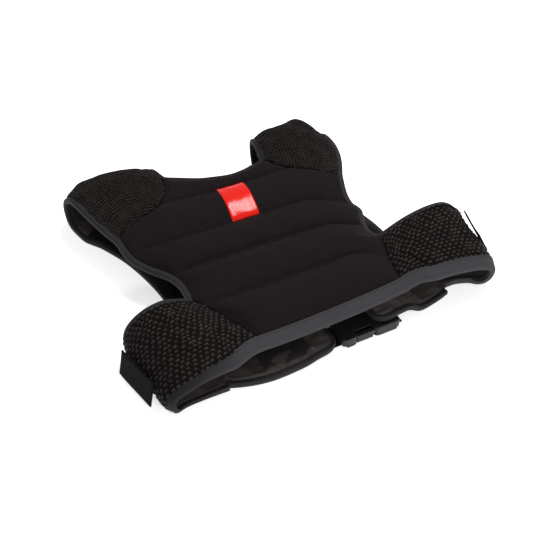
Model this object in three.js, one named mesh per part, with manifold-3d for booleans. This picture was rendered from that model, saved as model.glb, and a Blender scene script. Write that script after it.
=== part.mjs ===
// Weighted vest, lying back up on a flat surface with its waist buckle fastened.
// Millimetres. +X runs across the vest, +Y from the hem to the shoulders, +Z up.
// The pieces are laid out from the middle of an even hem line at y = 0, and the whole vest
// is then moved so that the origin lies on the surface, under the middle of the vest's box.

import * as THREE from "three";
import { mergeVertices } from "three/addons/utils/BufferGeometryUtils.js";
import Module from "manifold-3d";

const wasm = await Module();
wasm.setup();

// Overall sizes of the vest as it lies.
const HALF_WIDTH = 212;
const LENGTH = 350;
const PANEL_HEIGHT = 40;

// Walls and fillings.
const SHEET = 8;
const CHANNEL_CROWN = 7;
const CHANNEL_BELLY = 4;
const LAST_CHANNEL_FILL = 0.5;
const FRONT_PUFF = 6;
const BELT_PUFF = 4.5;
const GAP = 0.3;

// Bound edges.
const BINDING_WIDTH = 5.2;
const HEM_TAPE_WIDTH = 10.5;
const HEM_TAPE_DROOP = 0.45;
const HEM_TAPE_NARROW = 0.55;
const HEM_TAPE_NARROWS = [0.45, 0.8];
const BAND_FLAT = 0.55;
const BAND_NOSE = 0.45;

// How the cloth lies: the hem slants by this slope, fading out between two shares of LENGTH.
const HEM_SLANT = 0.075;
const SLANT_FADE = [0.086, 0.343];

// Shoulder and wing rolls: how high the side of a roll bulges most, and the shares of the way
// round at which its four legs end.
const ROLL_SIDE_HEIGHT = 27;
const ROLL_ENDS = { rise: 0.34, over: 0.58, under: 0.8, tuck: 1 };
const ROLL_LEVEL_START = 0.12;
const SHOULDER_LEAN = THREE.MathUtils.degToRad(13);
const SHOULDER_FLARE = { left: 2, right: 9 };
const FLARE_REACH = 0.9;
const SHOULDER_TUCK = 26;
const SHOULDER_FLOOR = 17;

// Front belts and what fastens them: the belts come down from the webbing and the buckle
// over their ramps. Their near edge rises towards the wings and sags between its ends.
const BELT_WIDTH = 34;
const BELT_NEAR_Y = -1;
const BELT_RISE = { left: 13, right: 14 };
const BELT_RISE_SPAN = 60;
const BELT_SAG = { left: 4, right: -4.5 };
const LEFT_NOSE_X = 1;
const NOSE_RADIUS = 15;
const NOSE_BLUNT = 2;
const WEBBING_RAMP = 13;
const BUCKLE_RAMP = 25;
const RAMP_START = 2.6;
const BUCKLE_RAMP_START = 11.5;
const BELT_OVER_BUCKLE = 24.5;

// Buckle and webbing.
const BUCKLE_LENGTH = 74;
const BUCKLE_WIDTH = 44;
const BUCKLE_THICKNESS = 11;
const BUCKLE_WALL = 2.2;
const BUCKLE_CLEARANCE = 2.3;
const SOCKET_CORNER = 7;
const PLUG_CORNER = 6;
const SLEEVE_CORNER = 2;
const BUTTON_INSET = 1;
const BUTTON_CLEARANCE = 2;
const JOIN = 1;
const BUCKLE_TURN = THREE.MathUtils.degToRad(-2);
const PLUG_BASE = 19;
const PLUG_ARM = 5.5;
const PLUG_ARM_LENGTH = 34;
const PLUG_TONGUE_WIDTH = 7;
const SOCKET_BODY = 34;
const SOCKET_SLEEVE_WIDTH = 24;
const WEBBING_WIDTH = 30;
const WEBBING_THICKNESS = 1.8;
const WEBBING_LENGTH = { left: 30, right: 14 };
const WEBBING_GRIP = 5;

// Trim.
const LABEL_WIDTH = 35;
const LABEL_THICKNESS = 1.1;
const LABEL_LEAN = 0.12;
const LABEL_MIDDLE_X = 0.5;
const PATCH_THICKNESS = 1.2;
const TAB_LENGTH = 54;
const TAB_WIDTH = 30;
const TAB_THICKNESS = 2;
const TAB_LIFT = { left: 0, right: THREE.MathUtils.degToRad(4) };
const TAB_PLACES = {
  left: { round: 0.57, along: 0.48, drop: 0.28, seat: 0.5 },
  right: { round: 0.54, along: 0.47, drop: 0, seat: 0.3 },
};

const BUCKLE_LEFT_X = LEFT_NOSE_X + BINDING_WIDTH + BUCKLE_CLEARANCE;
const BUCKLE_RIGHT_X = BUCKLE_LEFT_X + BUCKLE_LENGTH;
const BUCKLE_MIDDLE_Y = BELT_NEAR_Y + BELT_WIDTH / 2;
const RIGHT_NOSE_X = BUCKLE_RIGHT_X - BELT_OVER_BUCKLE;
const WEBBING_OUTER = {
  left: WEBBING_LENGTH.left - BUCKLE_LEFT_X,
  right: BUCKLE_RIGHT_X + WEBBING_LENGTH.right,
};

// Seams of the back panel, as shares of LENGTH; bend is how far a seam turns down towards its
// right end, and steps is the rows of faces up to the next one.
const SEAMS = [
  { name: "hem", along: 0.037, bend: 0, steps: 6 },
  { name: "first", along: 0.24, bend: 0.07, steps: 2 },
  { name: "flank_corner", along: 0.277, bend: 0, steps: 4 },
  { name: "second", along: 0.427, bend: 0.04, steps: 5 },
  { name: "third", along: 0.583, bend: 0.06, steps: 2 },
  { name: "yoke_corner", along: 0.663, bend: 0, steps: 4 },
  { name: "fourth", along: 0.769, bend: 0, steps: 3 },
  { name: "neck", along: 0.846, bend: 0, steps: 0 },
];
const BEND_START = 0.8;
const CORNERS = ["flank_corner", "yoke_corner"];
const seamAlong = (name) => SEAMS.find((seam) => seam.name === name).along;

// Side edges of the back panel: along in shares of LENGTH, left and right in shares of
// HALF_WIDTH, middle and side are the mid-layer's height in shares of PANEL_HEIGHT.
const PANEL_EDGES = [
  { along: 0.037, left: 0.396, right: 0.443, middle: 1.02, side: 1.1 },
  { along: 0.14, left: 0.458, right: 0.476, middle: 1.0, side: 1.08 },
  { along: 0.211, left: 0.509, right: 0.509, middle: 1.0, side: 1.07 },
  { along: 0.277, left: 0.571, right: 0.542, middle: 0.98, side: 1.04, corner: true },
  { along: 0.32, left: 0.558, right: 0.51, middle: 0.975, side: 0.97 },
  { along: 0.371, left: 0.552, right: 0.52, middle: 0.97, side: 0.92 },
  { along: 0.429, left: 0.571, right: 0.552, middle: 0.96, side: 0.88 },
  { along: 0.467, left: 0.608, right: 0.58, middle: 0.95, side: 0.87 },
  { along: 0.503, left: 0.65, right: 0.562, middle: 0.94, side: 0.88 },
  { along: 0.569, left: 0.7, right: 0.58, middle: 0.92, side: 0.92 },
  { along: 0.663, left: 0.712, right: 0.637, middle: 0.93, side: 1.0, corner: true },
  { along: 0.689, left: 0.651, right: 0.585, middle: 0.93, side: 1.03 },
  { along: 0.717, left: 0.571, right: 0.524, middle: 0.94, side: 1.05 },
  { along: 0.746, left: 0.472, right: 0.453, middle: 0.95, side: 1.06 },
  { along: 0.774, left: 0.392, right: 0.396, middle: 0.95, side: 1.06 },
  { along: 0.809, left: 0.325, right: 0.349, middle: 0.96, side: 1.06 },
  { along: 0.846, left: 0.29, right: 0.32, middle: 0.98, side: 1.06 },
];

// The neckline, from the left yoke to the right one: rise is in shares of NECK_RISE.
const NECK_RISE = 20;
const NECK_ROWS = [
  { across: 0, rise: 1 },
  { across: 0.15, rise: 0.6 },
  { across: 0.31, rise: 0.1 },
  { across: 0.45, rise: -0.16 },
  { across: 0.6, rise: -0.38 },
  { across: 0.72, rise: -0.36 },
  { across: 0.85, rise: -0.2 },
  { across: 1, rise: 0.12 },
];

// Wing rolls, from the hem to the armhole: across in shares of HALF_WIDTH and heights in
// shares of PANEL_HEIGHT. The turn and under columns place the section along Y, in shares of
// LENGTH, where it turns over on either side and where it meets the front.
const WING_ROWS = [
  {
    along: 0, peak_left: 0.6, peak_right: 0.6, peak_z: 1.16, side_left: 0.968, side_right: 0.97,
    floor_x: 0.895, turn_left: -0.006, turn_right: 0.003, under_left: 0.022, under_right: 0.072,
  },
  {
    along: 0.35, peak_left: 0.67, peak_right: 0.68, peak_z: 1.28, side_left: 0.996,
    side_right: 0.99, floor_x: 0.9, turn_left: 0.098, turn_right: 0.088, under_left: 0.094,
    under_right: 0.115,
  },
  {
    along: 0.7, peak_left: 0.74, peak_right: 0.77, peak_z: 1.4, side_left: 1.018, side_right: 1.0,
    floor_x: 0.92, turn_left: 0.19, turn_right: 0.19, under_left: 0.163, under_right: 0.168,
  },
  {
    along: 1, peak_left: 0.8, peak_right: 0.86, peak_z: 1.46, side_left: 0.985, side_right: 1.0,
    floor_x: 0.92, turn_left: 0.258, turn_right: 0.265, under_left: 0.215, under_right: 0.215,
  },
];
const WING_TURN_OVER = [0.1, 0.5];
const WING_TURN_UNDER = { left: [0.6, 0.85], right: [0.62, 0.95] };
const WING_PEAK = { left: 0.93, right: 1.08 };
const WING_SWELL = { left: 1, right: 0.5 };
const WING_REACH = { left: 0.955, right: 1.03 };

// Shoulder rolls, from the neck to the armhole: the crest's Y in shares of LENGTH, its mid-layer
// height in shares of PANEL_HEIGHT, and how far along the way to the crest the top is reached.
const YOKE_ROWS = [
  { across: 0, crest_left: 1.005, crest_right: 1.026, peak_z: 1.08, peak: 0.5 },
  { across: 0.3, crest_left: 1.028, crest_right: 1.03, peak_z: 1.2, peak: 0.7 },
  { across: 0.55, crest_left: 1.03, crest_right: 1.03, peak_z: 1.26, peak: 0.74 },
  { across: 0.78, crest_left: 1.018, crest_right: 1.042, peak_z: 1.24, peak: 0.76 },
  { across: 1, crest_left: 0.972, crest_right: 0.93, peak_z: 1.16, peak: 0.78 },
];

// Front pieces, from the hem to the shoulders: along in shares of LENGTH, the others in shares
// of HALF_WIDTH. The belts' outer ends lie between the first two rows, up to where the front
// panels start.
const FRONT_START = (BELT_NEAR_Y + BELT_WIDTH + GAP) / LENGTH;
const FRONT_EDGES = [
  { along: 0, inner_left: 0.21, inner_right: 0.42, outer_left: 0.6, outer_right: 0.742 },
  {
    along: FRONT_START, inner_left: 0.21, inner_right: 0.42, outer_left: 0.6, outer_right: 0.742,
    corner: true,
  },
  { along: 0.14, inner_left: 0.21, inner_right: 0.3, outer_left: 0.604, outer_right: 0.724 },
  { along: 0.2, inner_left: 0.215, inner_right: 0.24, outer_left: 0.618, outer_right: 0.704 },
  { along: 0.277, inner_left: 0.22, inner_right: 0.22, outer_left: 0.63, outer_right: 0.691 },
  { along: 0.371, inner_left: 0.225, inner_right: 0.225, outer_left: 0.6, outer_right: 0.69 },
  { along: 0.46, inner_left: 0.235, inner_right: 0.235, outer_left: 0.595, outer_right: 0.685 },
  { along: 0.566, inner_left: 0.245, inner_right: 0.245, outer_left: 0.615, outer_right: 0.66 },
  { along: 0.677, inner_left: 0.255, inner_right: 0.255, outer_left: 0.655, outer_right: 0.65 },
  { along: 0.751, inner_left: 0.265, inner_right: 0.265, outer_left: 0.7, outer_right: 0.69 },
  { along: 0.8, inner_left: 0.27, inner_right: 0.27, outer_left: 0.735, outer_right: 0.722 },
];
const FRONT_TOP = 0.9;

// Where a front piece's inner or outer edge lies, at a share of LENGTH.
function frontEdge(edge, side, along) {
  return HALF_WIDTH * column(FRONT_EDGES, "along", `${edge}_${side}`, along);
}

const clamp01 = (value) => Math.min(1, Math.max(0, value));
const ease = (value) => clamp01(value) ** 2 * (3 - 2 * clamp01(value));
const easeBetween = (value, [from, to]) => ease((value - from) / (to - from));
const mix = (from, to, share) => from + (to - from) * share;

// Reads a column of a table at a place between its rows, as a smooth curve that may turn
// sharply only at rows marked as corners.
function column(rows, key, name, at) {
  let k = 0;
  while (k < rows.length - 2 && at > rows[k + 1][key]) k += 1;
  const slope = (i, j) => (rows[j][name] - rows[i][name]) / (rows[j][key] - rows[i][key]);
  const before = rows[k].corner || k === 0 ? slope(k, k + 1) : slope(k - 1, k + 1);
  const last = k + 2 > rows.length - 1;
  const after = rows[k + 1].corner || last ? slope(k, k + 1) : slope(k, k + 2);
  const span = rows[k + 1][key] - rows[k][key];
  const t = clamp01((at - rows[k][key]) / span);
  const t2 = t * t;
  const t3 = t2 * t;
  return (2 * t3 - 3 * t2 + 1) * rows[k][name] + (t3 - 2 * t2 + t) * span * before
    + (3 * t2 - 2 * t3) * rows[k + 1][name] + (t3 - t2) * span * after;
}

// Moves a point of the even vest to where the cloth lies.
function lie(point) {
  const slant = HEM_SLANT * (1 - easeBetween(point.y / LENGTH, SLANT_FADE));
  return new THREE.Vector3(point.x, point.y + slant * point.x, point.z);
}

// Builds a closed mesh from rings of points of one length, capped at both ends.
function ringsToGeometry(rings, closed = false) {
  const size = rings[0].length;
  const positions = rings.flat().map(lie).flatMap((p) => [p.x, p.y, p.z]);
  const index = [];
  const count = closed ? rings.length : rings.length - 1;
  for (let i = 0; i < count; i += 1) {
    const next = (i + 1) % rings.length;
    for (let j = 0; j < size; j += 1) {
      const a = i * size + j;
      const b = i * size + (j + 1) % size;
      const c = next * size + (j + 1) % size;
      const d = next * size + j;
      index.push(a, b, c, a, c, d);
    }
  }
  if (!closed) {
    const end = (rings.length - 1) * size;
    for (let j = 1; j < size - 1; j += 1) {
      index.push(0, j + 1, j);
      index.push(end, end + j, end + j + 1);
    }
  }
  return facingOut(positions, index);
}

// Builds a closed mesh between an upper and a lower skin, both grids of points.
function skinsToGeometry(upper, lower) {
  const rows = upper.length;
  const cols = upper[0].length;
  const points = [...upper.flat(), ...lower.flat()].map(lie);
  const positions = points.flatMap((p) => [p.x, p.y, p.z]);
  const top = (i, j) => i * cols + j;
  const low = (i, j) => rows * cols + i * cols + j;
  const index = [];
  for (let i = 0; i < rows - 1; i += 1) {
    for (let j = 0; j < cols - 1; j += 1) {
      index.push(top(i, j), top(i, j + 1), top(i + 1, j + 1), top(i, j), top(i + 1, j + 1), top(i + 1, j));
      index.push(low(i, j), low(i + 1, j + 1), low(i, j + 1), low(i, j), low(i + 1, j), low(i + 1, j + 1));
    }
  }
  const wall = (a, b) => index.push(top(...a), low(...b), top(...b), top(...a), low(...a), low(...b));
  for (let j = 0; j < cols - 1; j += 1) {
    wall([0, j], [0, j + 1]);
    wall([rows - 1, j + 1], [rows - 1, j]);
  }
  for (let i = 0; i < rows - 1; i += 1) {
    wall([i + 1, 0], [i, 0]);
    wall([i, cols - 1], [i + 1, cols - 1]);
  }
  return facingOut(positions, index);
}

// Turns the faces round where they point inwards.
function facingOut(positions, index) {
  let volume = 0;
  const corner = (k) => new THREE.Vector3().fromArray(positions, index[k] * 3);
  for (let k = 0; k < index.length; k += 3) {
    volume += corner(k).dot(corner(k + 1).cross(corner(k + 2)));
  }
  const faces = [];
  for (let k = 0; k < index.length; k += 3) {
    faces.push(index[k], ...(volume < 0 ? [index[k + 2], index[k + 1]] : [index[k + 1], index[k + 2]]));
  }
  const geometry = new THREE.BufferGeometry();
  geometry.setAttribute("position", new THREE.Float32BufferAttribute(positions, 3));
  geometry.setIndex(faces);
  geometry.computeVertexNormals();
  return geometry;
}

// A quilted sheet: mid(u, v) is its middle layer, normal(u, v) its upper side's direction and
// half(u, v) how far its two skins stand from the middle.
function quilt(sheet, across, along) {
  const upper = [];
  const lower = [];
  for (const v of along) {
    const top = [];
    const low = [];
    for (const u of across) {
      const mid = sheet.mid(u, v);
      const normal = sheet.normal(u, v);
      const half = sheet.half(u, v);
      top.push(mid.clone().addScaledVector(normal, half.up));
      low.push(mid.clone().addScaledVector(normal, -half.down));
    }
    upper.push(top);
    lower.push(low);
  }
  return skinsToGeometry(upper, lower);
}

const evenly = (count) => Array.from({ length: count + 1 }, (_, k) => k / count);
const UP = new THREE.Vector3(0, 0, 1);

// Back panel. u runs from the left edge to the right, and row is the share of LENGTH at which a
// line along the seams starts out; bent gives the share that it has reached at u.
function bent(u, row) {
  let k = 0;
  while (k < SEAMS.length - 2 && row > SEAMS[k + 1].along) k += 1;
  const share = clamp01((row - SEAMS[k].along) / (SEAMS[k + 1].along - SEAMS[k].along));
  return row - mix(SEAMS[k].bend, SEAMS[k + 1].bend, share) * easeBetween(u, [BEND_START, 1]);
}

function panelPlace(u, v) {
  const left = -HALF_WIDTH * column(PANEL_EDGES, "along", "left", v);
  const right = HALF_WIDTH * column(PANEL_EDGES, "along", "right", v);
  const arch = easeBetween(v, [seamAlong("fourth"), seamAlong("neck")]);
  return {
    x: mix(left, right, u),
    y: v * LENGTH + arch * NECK_RISE * column(NECK_ROWS, "across", "rise", u),
  };
}

function channelFill(u, row) {
  const seams = SEAMS.filter((seam) => !CORNERS.includes(seam.name));
  let k = 0;
  while (k < seams.length - 2 && row > seams[k + 1].along) k += 1;
  const share = clamp01((row - seams[k].along) / (seams[k + 1].along - seams[k].along));
  const round = Math.sqrt(4 * share * (1 - share));
  const side = Math.abs(2 * u - 1);
  const yokeFill = k === seams.length - 2 ? LAST_CHANNEL_FILL : 1;
  return yokeFill * round * (1 - side ** 6);
}

const backPanel = {
  mid(u, row) {
    const v = bent(u, row);
    const { x, y } = panelPlace(u, v);
    const side = Math.abs(2 * u - 1) ** 2.5;
    const middle = column(PANEL_EDGES, "along", "middle", v);
    const edge = column(PANEL_EDGES, "along", "side", v);
    return new THREE.Vector3(x, y, PANEL_HEIGHT * mix(middle, edge, side));
  },
  normal: () => UP,
  half(u, row) {
    const fill = channelFill(u, row);
    return { up: SHEET / 2 + CHANNEL_CROWN * fill, down: SHEET / 2 + CHANNEL_BELLY * fill };
  },
};

const panelRows = SEAMS.slice(0, -1).flatMap((seam, k) => (
  evenly(seam.steps).slice(0, -1).map((share) => mix(seam.along, SEAMS[k + 1].along, share))
)).concat(seamAlong("neck"));
const PANEL_COLUMNS = 16;

// The same rows again on one side edge, as shares of the stretch beside a wing and of that
// beside a yoke.
const sideEdge = (side) => (side === "left" ? 0 : 1);
const rowsBetween = (side, from, to) => panelRows
  .filter((row) => row > Math.min(from, to) - 1e-6 && row < Math.max(from, to) + 1e-6)
  .map((row) => (bent(sideEdge(side), row) - from) / (to - from))
  .sort((one, other) => one - other);
const wingRows = (side) => rowsBetween(side, seamAlong("hem"), seamAlong("flank_corner"));
const yokeRows = (side) => rowsBetween(side, seamAlong("neck"), seamAlong("yoke_corner"));

// The section of a roll: from its start it rises to a peak, turns over the side, comes down to
// the floor and runs in under itself. r is measured outwards and z upwards.
function rollPoint(share, roll) {
  const floorZ = SHEET / 2;
  const legs = [
    {
      until: ROLL_ENDS.rise,
      at: (t) => [
        mix(roll.start_r, roll.peak_r, t),
        mix(roll.start_z, roll.peak_z, ease(t) ** roll.swell),
      ],
    },
    {
      until: ROLL_ENDS.over,
      at: (t) => quarter(t, roll.peak_r, roll.peak_z, roll.side_r, ROLL_SIDE_HEIGHT, false),
    },
    {
      until: ROLL_ENDS.under,
      at: (t) => quarter(t, roll.floor_r, floorZ, roll.side_r, ROLL_SIDE_HEIGHT, true),
    },
    {
      until: ROLL_ENDS.tuck,
      at: (t) => [mix(roll.floor_r, roll.end_r, t), floorZ],
    },
  ];
  let start = 0;
  for (const leg of legs) {
    if (share <= leg.until || leg === legs[3]) {
      return leg.at(clamp01((share - start) / (leg.until - start)));
    }
    start = leg.until;
  }
  return legs[3].at(1);
}

// A quarter of an ellipse between a level point and an upright one, run either way.
function quarter(t, levelR, levelZ, sideR, sideZ, backwards) {
  const turn = (backwards ? 1 - t : t) * Math.PI / 2;
  return [mix(levelR, sideR, Math.sin(turn)), mix(sideZ, levelZ, Math.cos(turn))];
}

const ROLL_SHARES = [
  ...evenly(5).map((t) => mix(0, ROLL_ENDS.rise, t)),
  ...evenly(6).slice(1).map((t) => mix(ROLL_ENDS.rise, ROLL_ENDS.over, t)),
  ...evenly(6).slice(1).map((t) => mix(ROLL_ENDS.over, ROLL_ENDS.under, t)),
  ...evenly(3).slice(1).map((t) => mix(ROLL_ENDS.under, ROLL_ENDS.tuck, t)),
];

// The section's outward direction; upright at its start and downward at its end, where the
// roll meets flat pieces.
function rollNormal(share, roll) {
  const step = 0.004;
  const [r0, z0] = rollPoint(Math.max(0, share - step), roll);
  const [r1, z1] = rollPoint(Math.min(1, share + step), roll);
  const length = Math.hypot(r1 - r0, z1 - z0);
  const plumb = 1 - ease(share / ROLL_LEVEL_START);
  const normal = [-(z1 - z0) / length, (r1 - r0) / length];
  const mixed = [mix(normal[0], 0, plumb), mix(normal[1], 1, plumb)];
  const size = Math.hypot(...mixed);
  return [mixed[0] / size, mixed[1] / size];
}

// A side wing: u runs round the roll from the back panel to the front, v from hem to armhole.
function wing(side) {
  const hand = side === "left" ? -1 : 1;
  const at = (name, v) => column(WING_ROWS, "along", name, v);
  const backY = (v) => mix(seamAlong("hem"), seamAlong("flank_corner"), v);
  const roll = (v) => ({
    start_r: HALF_WIDTH * column(PANEL_EDGES, "along", side, backY(v)) + GAP,
    start_z: PANEL_HEIGHT * column(PANEL_EDGES, "along", "side", backY(v)),
    peak_r: HALF_WIDTH * at(`peak_${side}`, v) * WING_REACH[side],
    peak_z: PANEL_HEIGHT * at("peak_z", v) * WING_PEAK[side],
    side_r: HALF_WIDTH * at(`side_${side}`, v) * WING_REACH[side],
    floor_r: HALF_WIDTH * at("floor_x", v) * WING_REACH[side],
    end_r: frontEdge("outer", side, at(`under_${side}`, v)) + GAP,
    swell: WING_SWELL[side],
  });
  return {
    hand,
    mid(u, v) {
      const [r, z] = rollPoint(u, roll(v));
      const over = mix(backY(v), at(`turn_${side}`, v), easeBetween(u, WING_TURN_OVER));
      const y = LENGTH * mix(over, at(`under_${side}`, v), easeBetween(u, WING_TURN_UNDER[side]));
      return new THREE.Vector3(hand * r, y, z);
    },
    normal(u, v) {
      const [r, z] = rollNormal(u, roll(v));
      return new THREE.Vector3(hand * r, 0, z);
    },
    half: () => ({ up: SHEET / 2, down: SHEET / 2 }),
  };
}

// Where the shoulder yoke joins the back panel, from its neck corner to its armhole corner.
function yokeJoin(side, across) {
  const v = mix(seamAlong("neck"), seamAlong("yoke_corner"), across);
  const place = panelPlace(sideEdge(side), v);
  const z = PANEL_HEIGHT * column(PANEL_EDGES, "along", "side", v);
  return new THREE.Vector3(place.x, place.y, z);
}

// A shoulder yoke: u runs over the shoulder from the back panel to the front panel, v from the
// neck to the armhole.
function yoke(side) {
  const hand = side === "left" ? -1 : 1;
  const lean = new THREE.Vector3(hand * Math.sin(SHOULDER_LEAN), Math.cos(SHOULDER_LEAN), 0);
  const at = (name, v) => column(YOKE_ROWS, "across", name, v);
  const roll = (v) => {
    const join = yokeJoin(side, v);
    const nose = (LENGTH * at(`crest_${side}`, v) - join.y) / Math.cos(SHOULDER_LEAN);
    const start = GAP * 1.8;
    return {
      start_r: start,
      start_z: join.z,
      peak_r: mix(start, nose, at("peak", v)),
      peak_z: PANEL_HEIGHT * at("peak_z", v),
      side_r: nose,
      floor_r: nose - SHOULDER_FLOOR,
      end_r: nose - SHOULDER_FLOOR - SHOULDER_TUCK,
      swell: 1,
    };
  };
  return {
    hand,
    mid(u, v) {
      const [r, z] = rollPoint(u, roll(v));
      const join = yokeJoin(side, v);
      const flare = SHOULDER_FLARE[side] * v ** 2 * Math.sin(Math.PI * r / roll(v).side_r / FLARE_REACH);
      return new THREE.Vector3(join.x + hand * flare, join.y, 0).addScaledVector(lean, r).setZ(z);
    },
    normal(u, v) {
      const [r, z] = rollNormal(u, roll(v));
      return lean.clone().multiplyScalar(r).setZ(z);
    },
    half: () => ({ up: SHEET / 2, down: SHEET / 2 }),
  };
}

// A front panel, lying under the back: u runs from the inner edge to the armhole edge, v from
// the belt to the yoke.
function frontPanel(side, shoulder) {
  const hand = side === "left" ? -1 : 1;
  const last = FRONT_EDGES[FRONT_EDGES.length - 1].along;
  return {
    hand,
    mid(u, v) {
      const along = mix(FRONT_START, last, Math.min(1, v / FRONT_TOP));
      const x = mix(frontEdge("inner", side, along), frontEdge("outer", side, along), u);
      const place = new THREE.Vector3(hand * x, along * LENGTH, SHEET / 2);
      const top = shoulder.mid(1, u);
      top.y -= GAP * 1.2;
      return place.lerp(top, clamp01((v - FRONT_TOP) / (1 - FRONT_TOP)));
    },
    normal: () => UP,
    half(u, v) {
      const puff = (1 - Math.abs(2 * u - 1) ** 4) * Math.sqrt(Math.sin(Math.PI * clamp01(v)));
      return { up: SHEET / 2 + FRONT_PUFF * puff, down: SHEET / 2 };
    },
  };
}

// A waist belt with a rounded nose: u runs from its outer end to the nose, v from the near edge
// to the far one. It rests on its webbing, and the right one on the buckle too.
function belt(side) {
  const hand = side === "left" ? -1 : 1;
  const outer = frontEdge("outer", side, FRONT_START / 2);
  const tip = side === "left" ? -LEFT_NOSE_X : RIGHT_NOSE_X;
  const span = outer - tip;
  const overWebbing = WEBBING_THICKNESS + GAP * 1.5;
  const overBuckle = BUCKLE_THICKNESS + GAP * 1.5;
  const lift = (out) => {
    const webbingEnd = WEBBING_OUTER[side] + RAMP_START;
    const buckleEnd = BUCKLE_RIGHT_X + BUCKLE_RAMP_START;
    const webbing = overWebbing * easeBetween(out, [webbingEnd + WEBBING_RAMP, webbingEnd]);
    const buckle = side === "right" ? easeBetween(out, [buckleEnd + BUCKLE_RAMP, buckleEnd]) : 0;
    return mix(webbing, overBuckle, buckle);
  };
  return {
    hand,
    mid(u, v) {
      const out = outer - span * u;
      const toTip = span * (1 - u) + NOSE_BLUNT;
      const round = Math.min(1, toTip / NOSE_RADIUS);
      const trim = NOSE_RADIUS * (1 - Math.sqrt(1 - (1 - round) ** 2));
      const rise = BELT_RISE[side] * clamp01((out - outer + BELT_RISE_SPAN) / BELT_RISE_SPAN) ** 2;
      const near = BELT_NEAR_Y + trim + rise - BELT_SAG[side] * Math.sin(Math.PI * clamp01(u));
      const far = BELT_NEAR_Y + BELT_WIDTH - trim;
      return new THREE.Vector3(hand * out, mix(near, far, v), SHEET / 2 + lift(out));
    },
    normal: () => UP,
    half(u, v) {
      const puff = (1 - Math.abs(2 * v - 1) ** 3) * (1 - Math.abs(2 * u - 1) ** 8);
      return { up: SHEET / 2 + BELT_PUFF * puff, down: SHEET / 2 };
    },
  };
}

// One border of a sheet as places with the sheet's upper direction.
function border(sheet, places) {
  return places.map(([u, v]) => ({ at: sheet.mid(u, v), up: sheet.normal(u, v) }));
}

// Joins borders into one path and drops places that lie too close to the one before.
function joinPaths(paths, apart) {
  const path = [];
  for (const place of paths.flat()) {
    const last = path[path.length - 1];
    if (!last || last.at.distanceTo(place.at) > apart) path.push(place);
  }
  return path;
}

// A flat piece on a sheet's upper side, over the given grid of the sheet's own places.
function onTop(sheet, us, vs, thickness) {
  const layer = {
    mid: (u, v) => sheet.mid(u, v).addScaledVector(sheet.normal(u, v), sheet.half(u, v).up + GAP),
    normal: (u, v) => sheet.normal(u, v),
    half: () => ({ up: thickness, down: 0 }),
  };
  return quilt(layer, us, vs);
}

// A band along the outside of a path: width is how far it reaches out, droop how far it hangs
// towards the lower side, and hand says on which side of the path it lies. Where it narrows,
// share gives how much of its width it keeps at a place.
function band(path, {
  width, hand, droop = 0, share = () => 1,
}) {
  const tall = SHEET / 2;
  const shoulder = width * BAND_FLAT;
  const nose = tall * BAND_NOSE;
  const section = [
    [GAP, -tall],
    [GAP, tall],
    [shoulder, tall],
    [width, nose],
    [width, -nose],
    [shoulder, -tall],
  ];
  const rings = path.map(({ at, up }, k) => {
    const before = path[Math.max(0, k - 1)].at;
    const after = path[Math.min(path.length - 1, k + 1)].at;
    const back = at.clone().sub(before).normalize();
    const forth = after.clone().sub(at).normalize();
    const along = back.clone().add(forth).normalize();
    const out = along.clone().cross(up).normalize().multiplyScalar(hand);
    const half = Math.max(0.6, along.dot(back.lengthSq() ? back : forth));
    return section.map(([o, n]) => {
      const reach = mix(GAP, o, share(at));
      return at.clone().addScaledVector(out, reach / half).addScaledVector(up, n - droop * reach);
    });
  });
  return ringsToGeometry(rings);
}

const group = new THREE.Group();

const finishes = {
  neoprene: { color: 0x17161a, roughness: 0.78, metalness: 0 },
  mesh: { color: 0x2a2421, roughness: 0.85, metalness: 0 },
  binding: { color: 0x2e2e31, roughness: 0.7, metalness: 0 },
  hemTape: { color: 0x3c3c40, roughness: 0.72, metalness: 0 },
  webbing: { color: 0x1c1c1f, roughness: 0.75, metalness: 0 },
  label: { color: 0xe0301e, roughness: 0.25, metalness: 0 },
  plastic: { color: 0x121214, roughness: 0.4, metalness: 0 },
};

function add(name, geometry, finish) {
  const mesh = new THREE.Mesh(geometry, new THREE.MeshStandardMaterial(finishes[finish]));
  mesh.name = name;
  group.add(mesh);
  return mesh;
}

const sides = ["left", "right"];
const wings = Object.fromEntries(sides.map((side) => [side, wing(side)]));
const yokes = Object.fromEntries(sides.map((side) => [side, yoke(side)]));
const fronts = Object.fromEntries(sides.map((side) => [side, frontPanel(side, yokes[side])]));
const belts = Object.fromEntries(sides.map((side) => [side, belt(side)]));
const roundRoll = (v) => ROLL_SHARES.map((u) => [u, v]);
const BELT_ROWS = [0, 0.05, 0.17, 0.34, 0.46, 0.6, 0.77, 0.85, 0.9, 0.94, 0.97, 0.99, 1];
const BELT_COLUMNS = [0, 0.1, 0.26, 0.42, 0.58, 0.76, 0.9, 1];
const PATCH = { from: 3, to: 6, near: 1, far: 5 };

add("back_panel", quilt(backPanel, evenly(PANEL_COLUMNS), panelRows), "neoprene");
addLabel();
for (const side of sides) {
  add(`side_wing_${side}`, quilt(wings[side], ROLL_SHARES, wingRows(side)), "mesh");
  add(`shoulder_yoke_${side}`, quilt(yokes[side], ROLL_SHARES, yokeRows(side)), "mesh");
  add(`front_panel_${side}`, quilt(fronts[side], yokeRows(side), evenly(14)), "neoprene");
  add(`waist_belt_${side}`, quilt(belts[side], BELT_ROWS, BELT_COLUMNS), "neoprene");
  addBindings(side);
  addTab(side);
}
addHemTape();
addNeckBinding();
addPatch();
addBuckle();

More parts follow.
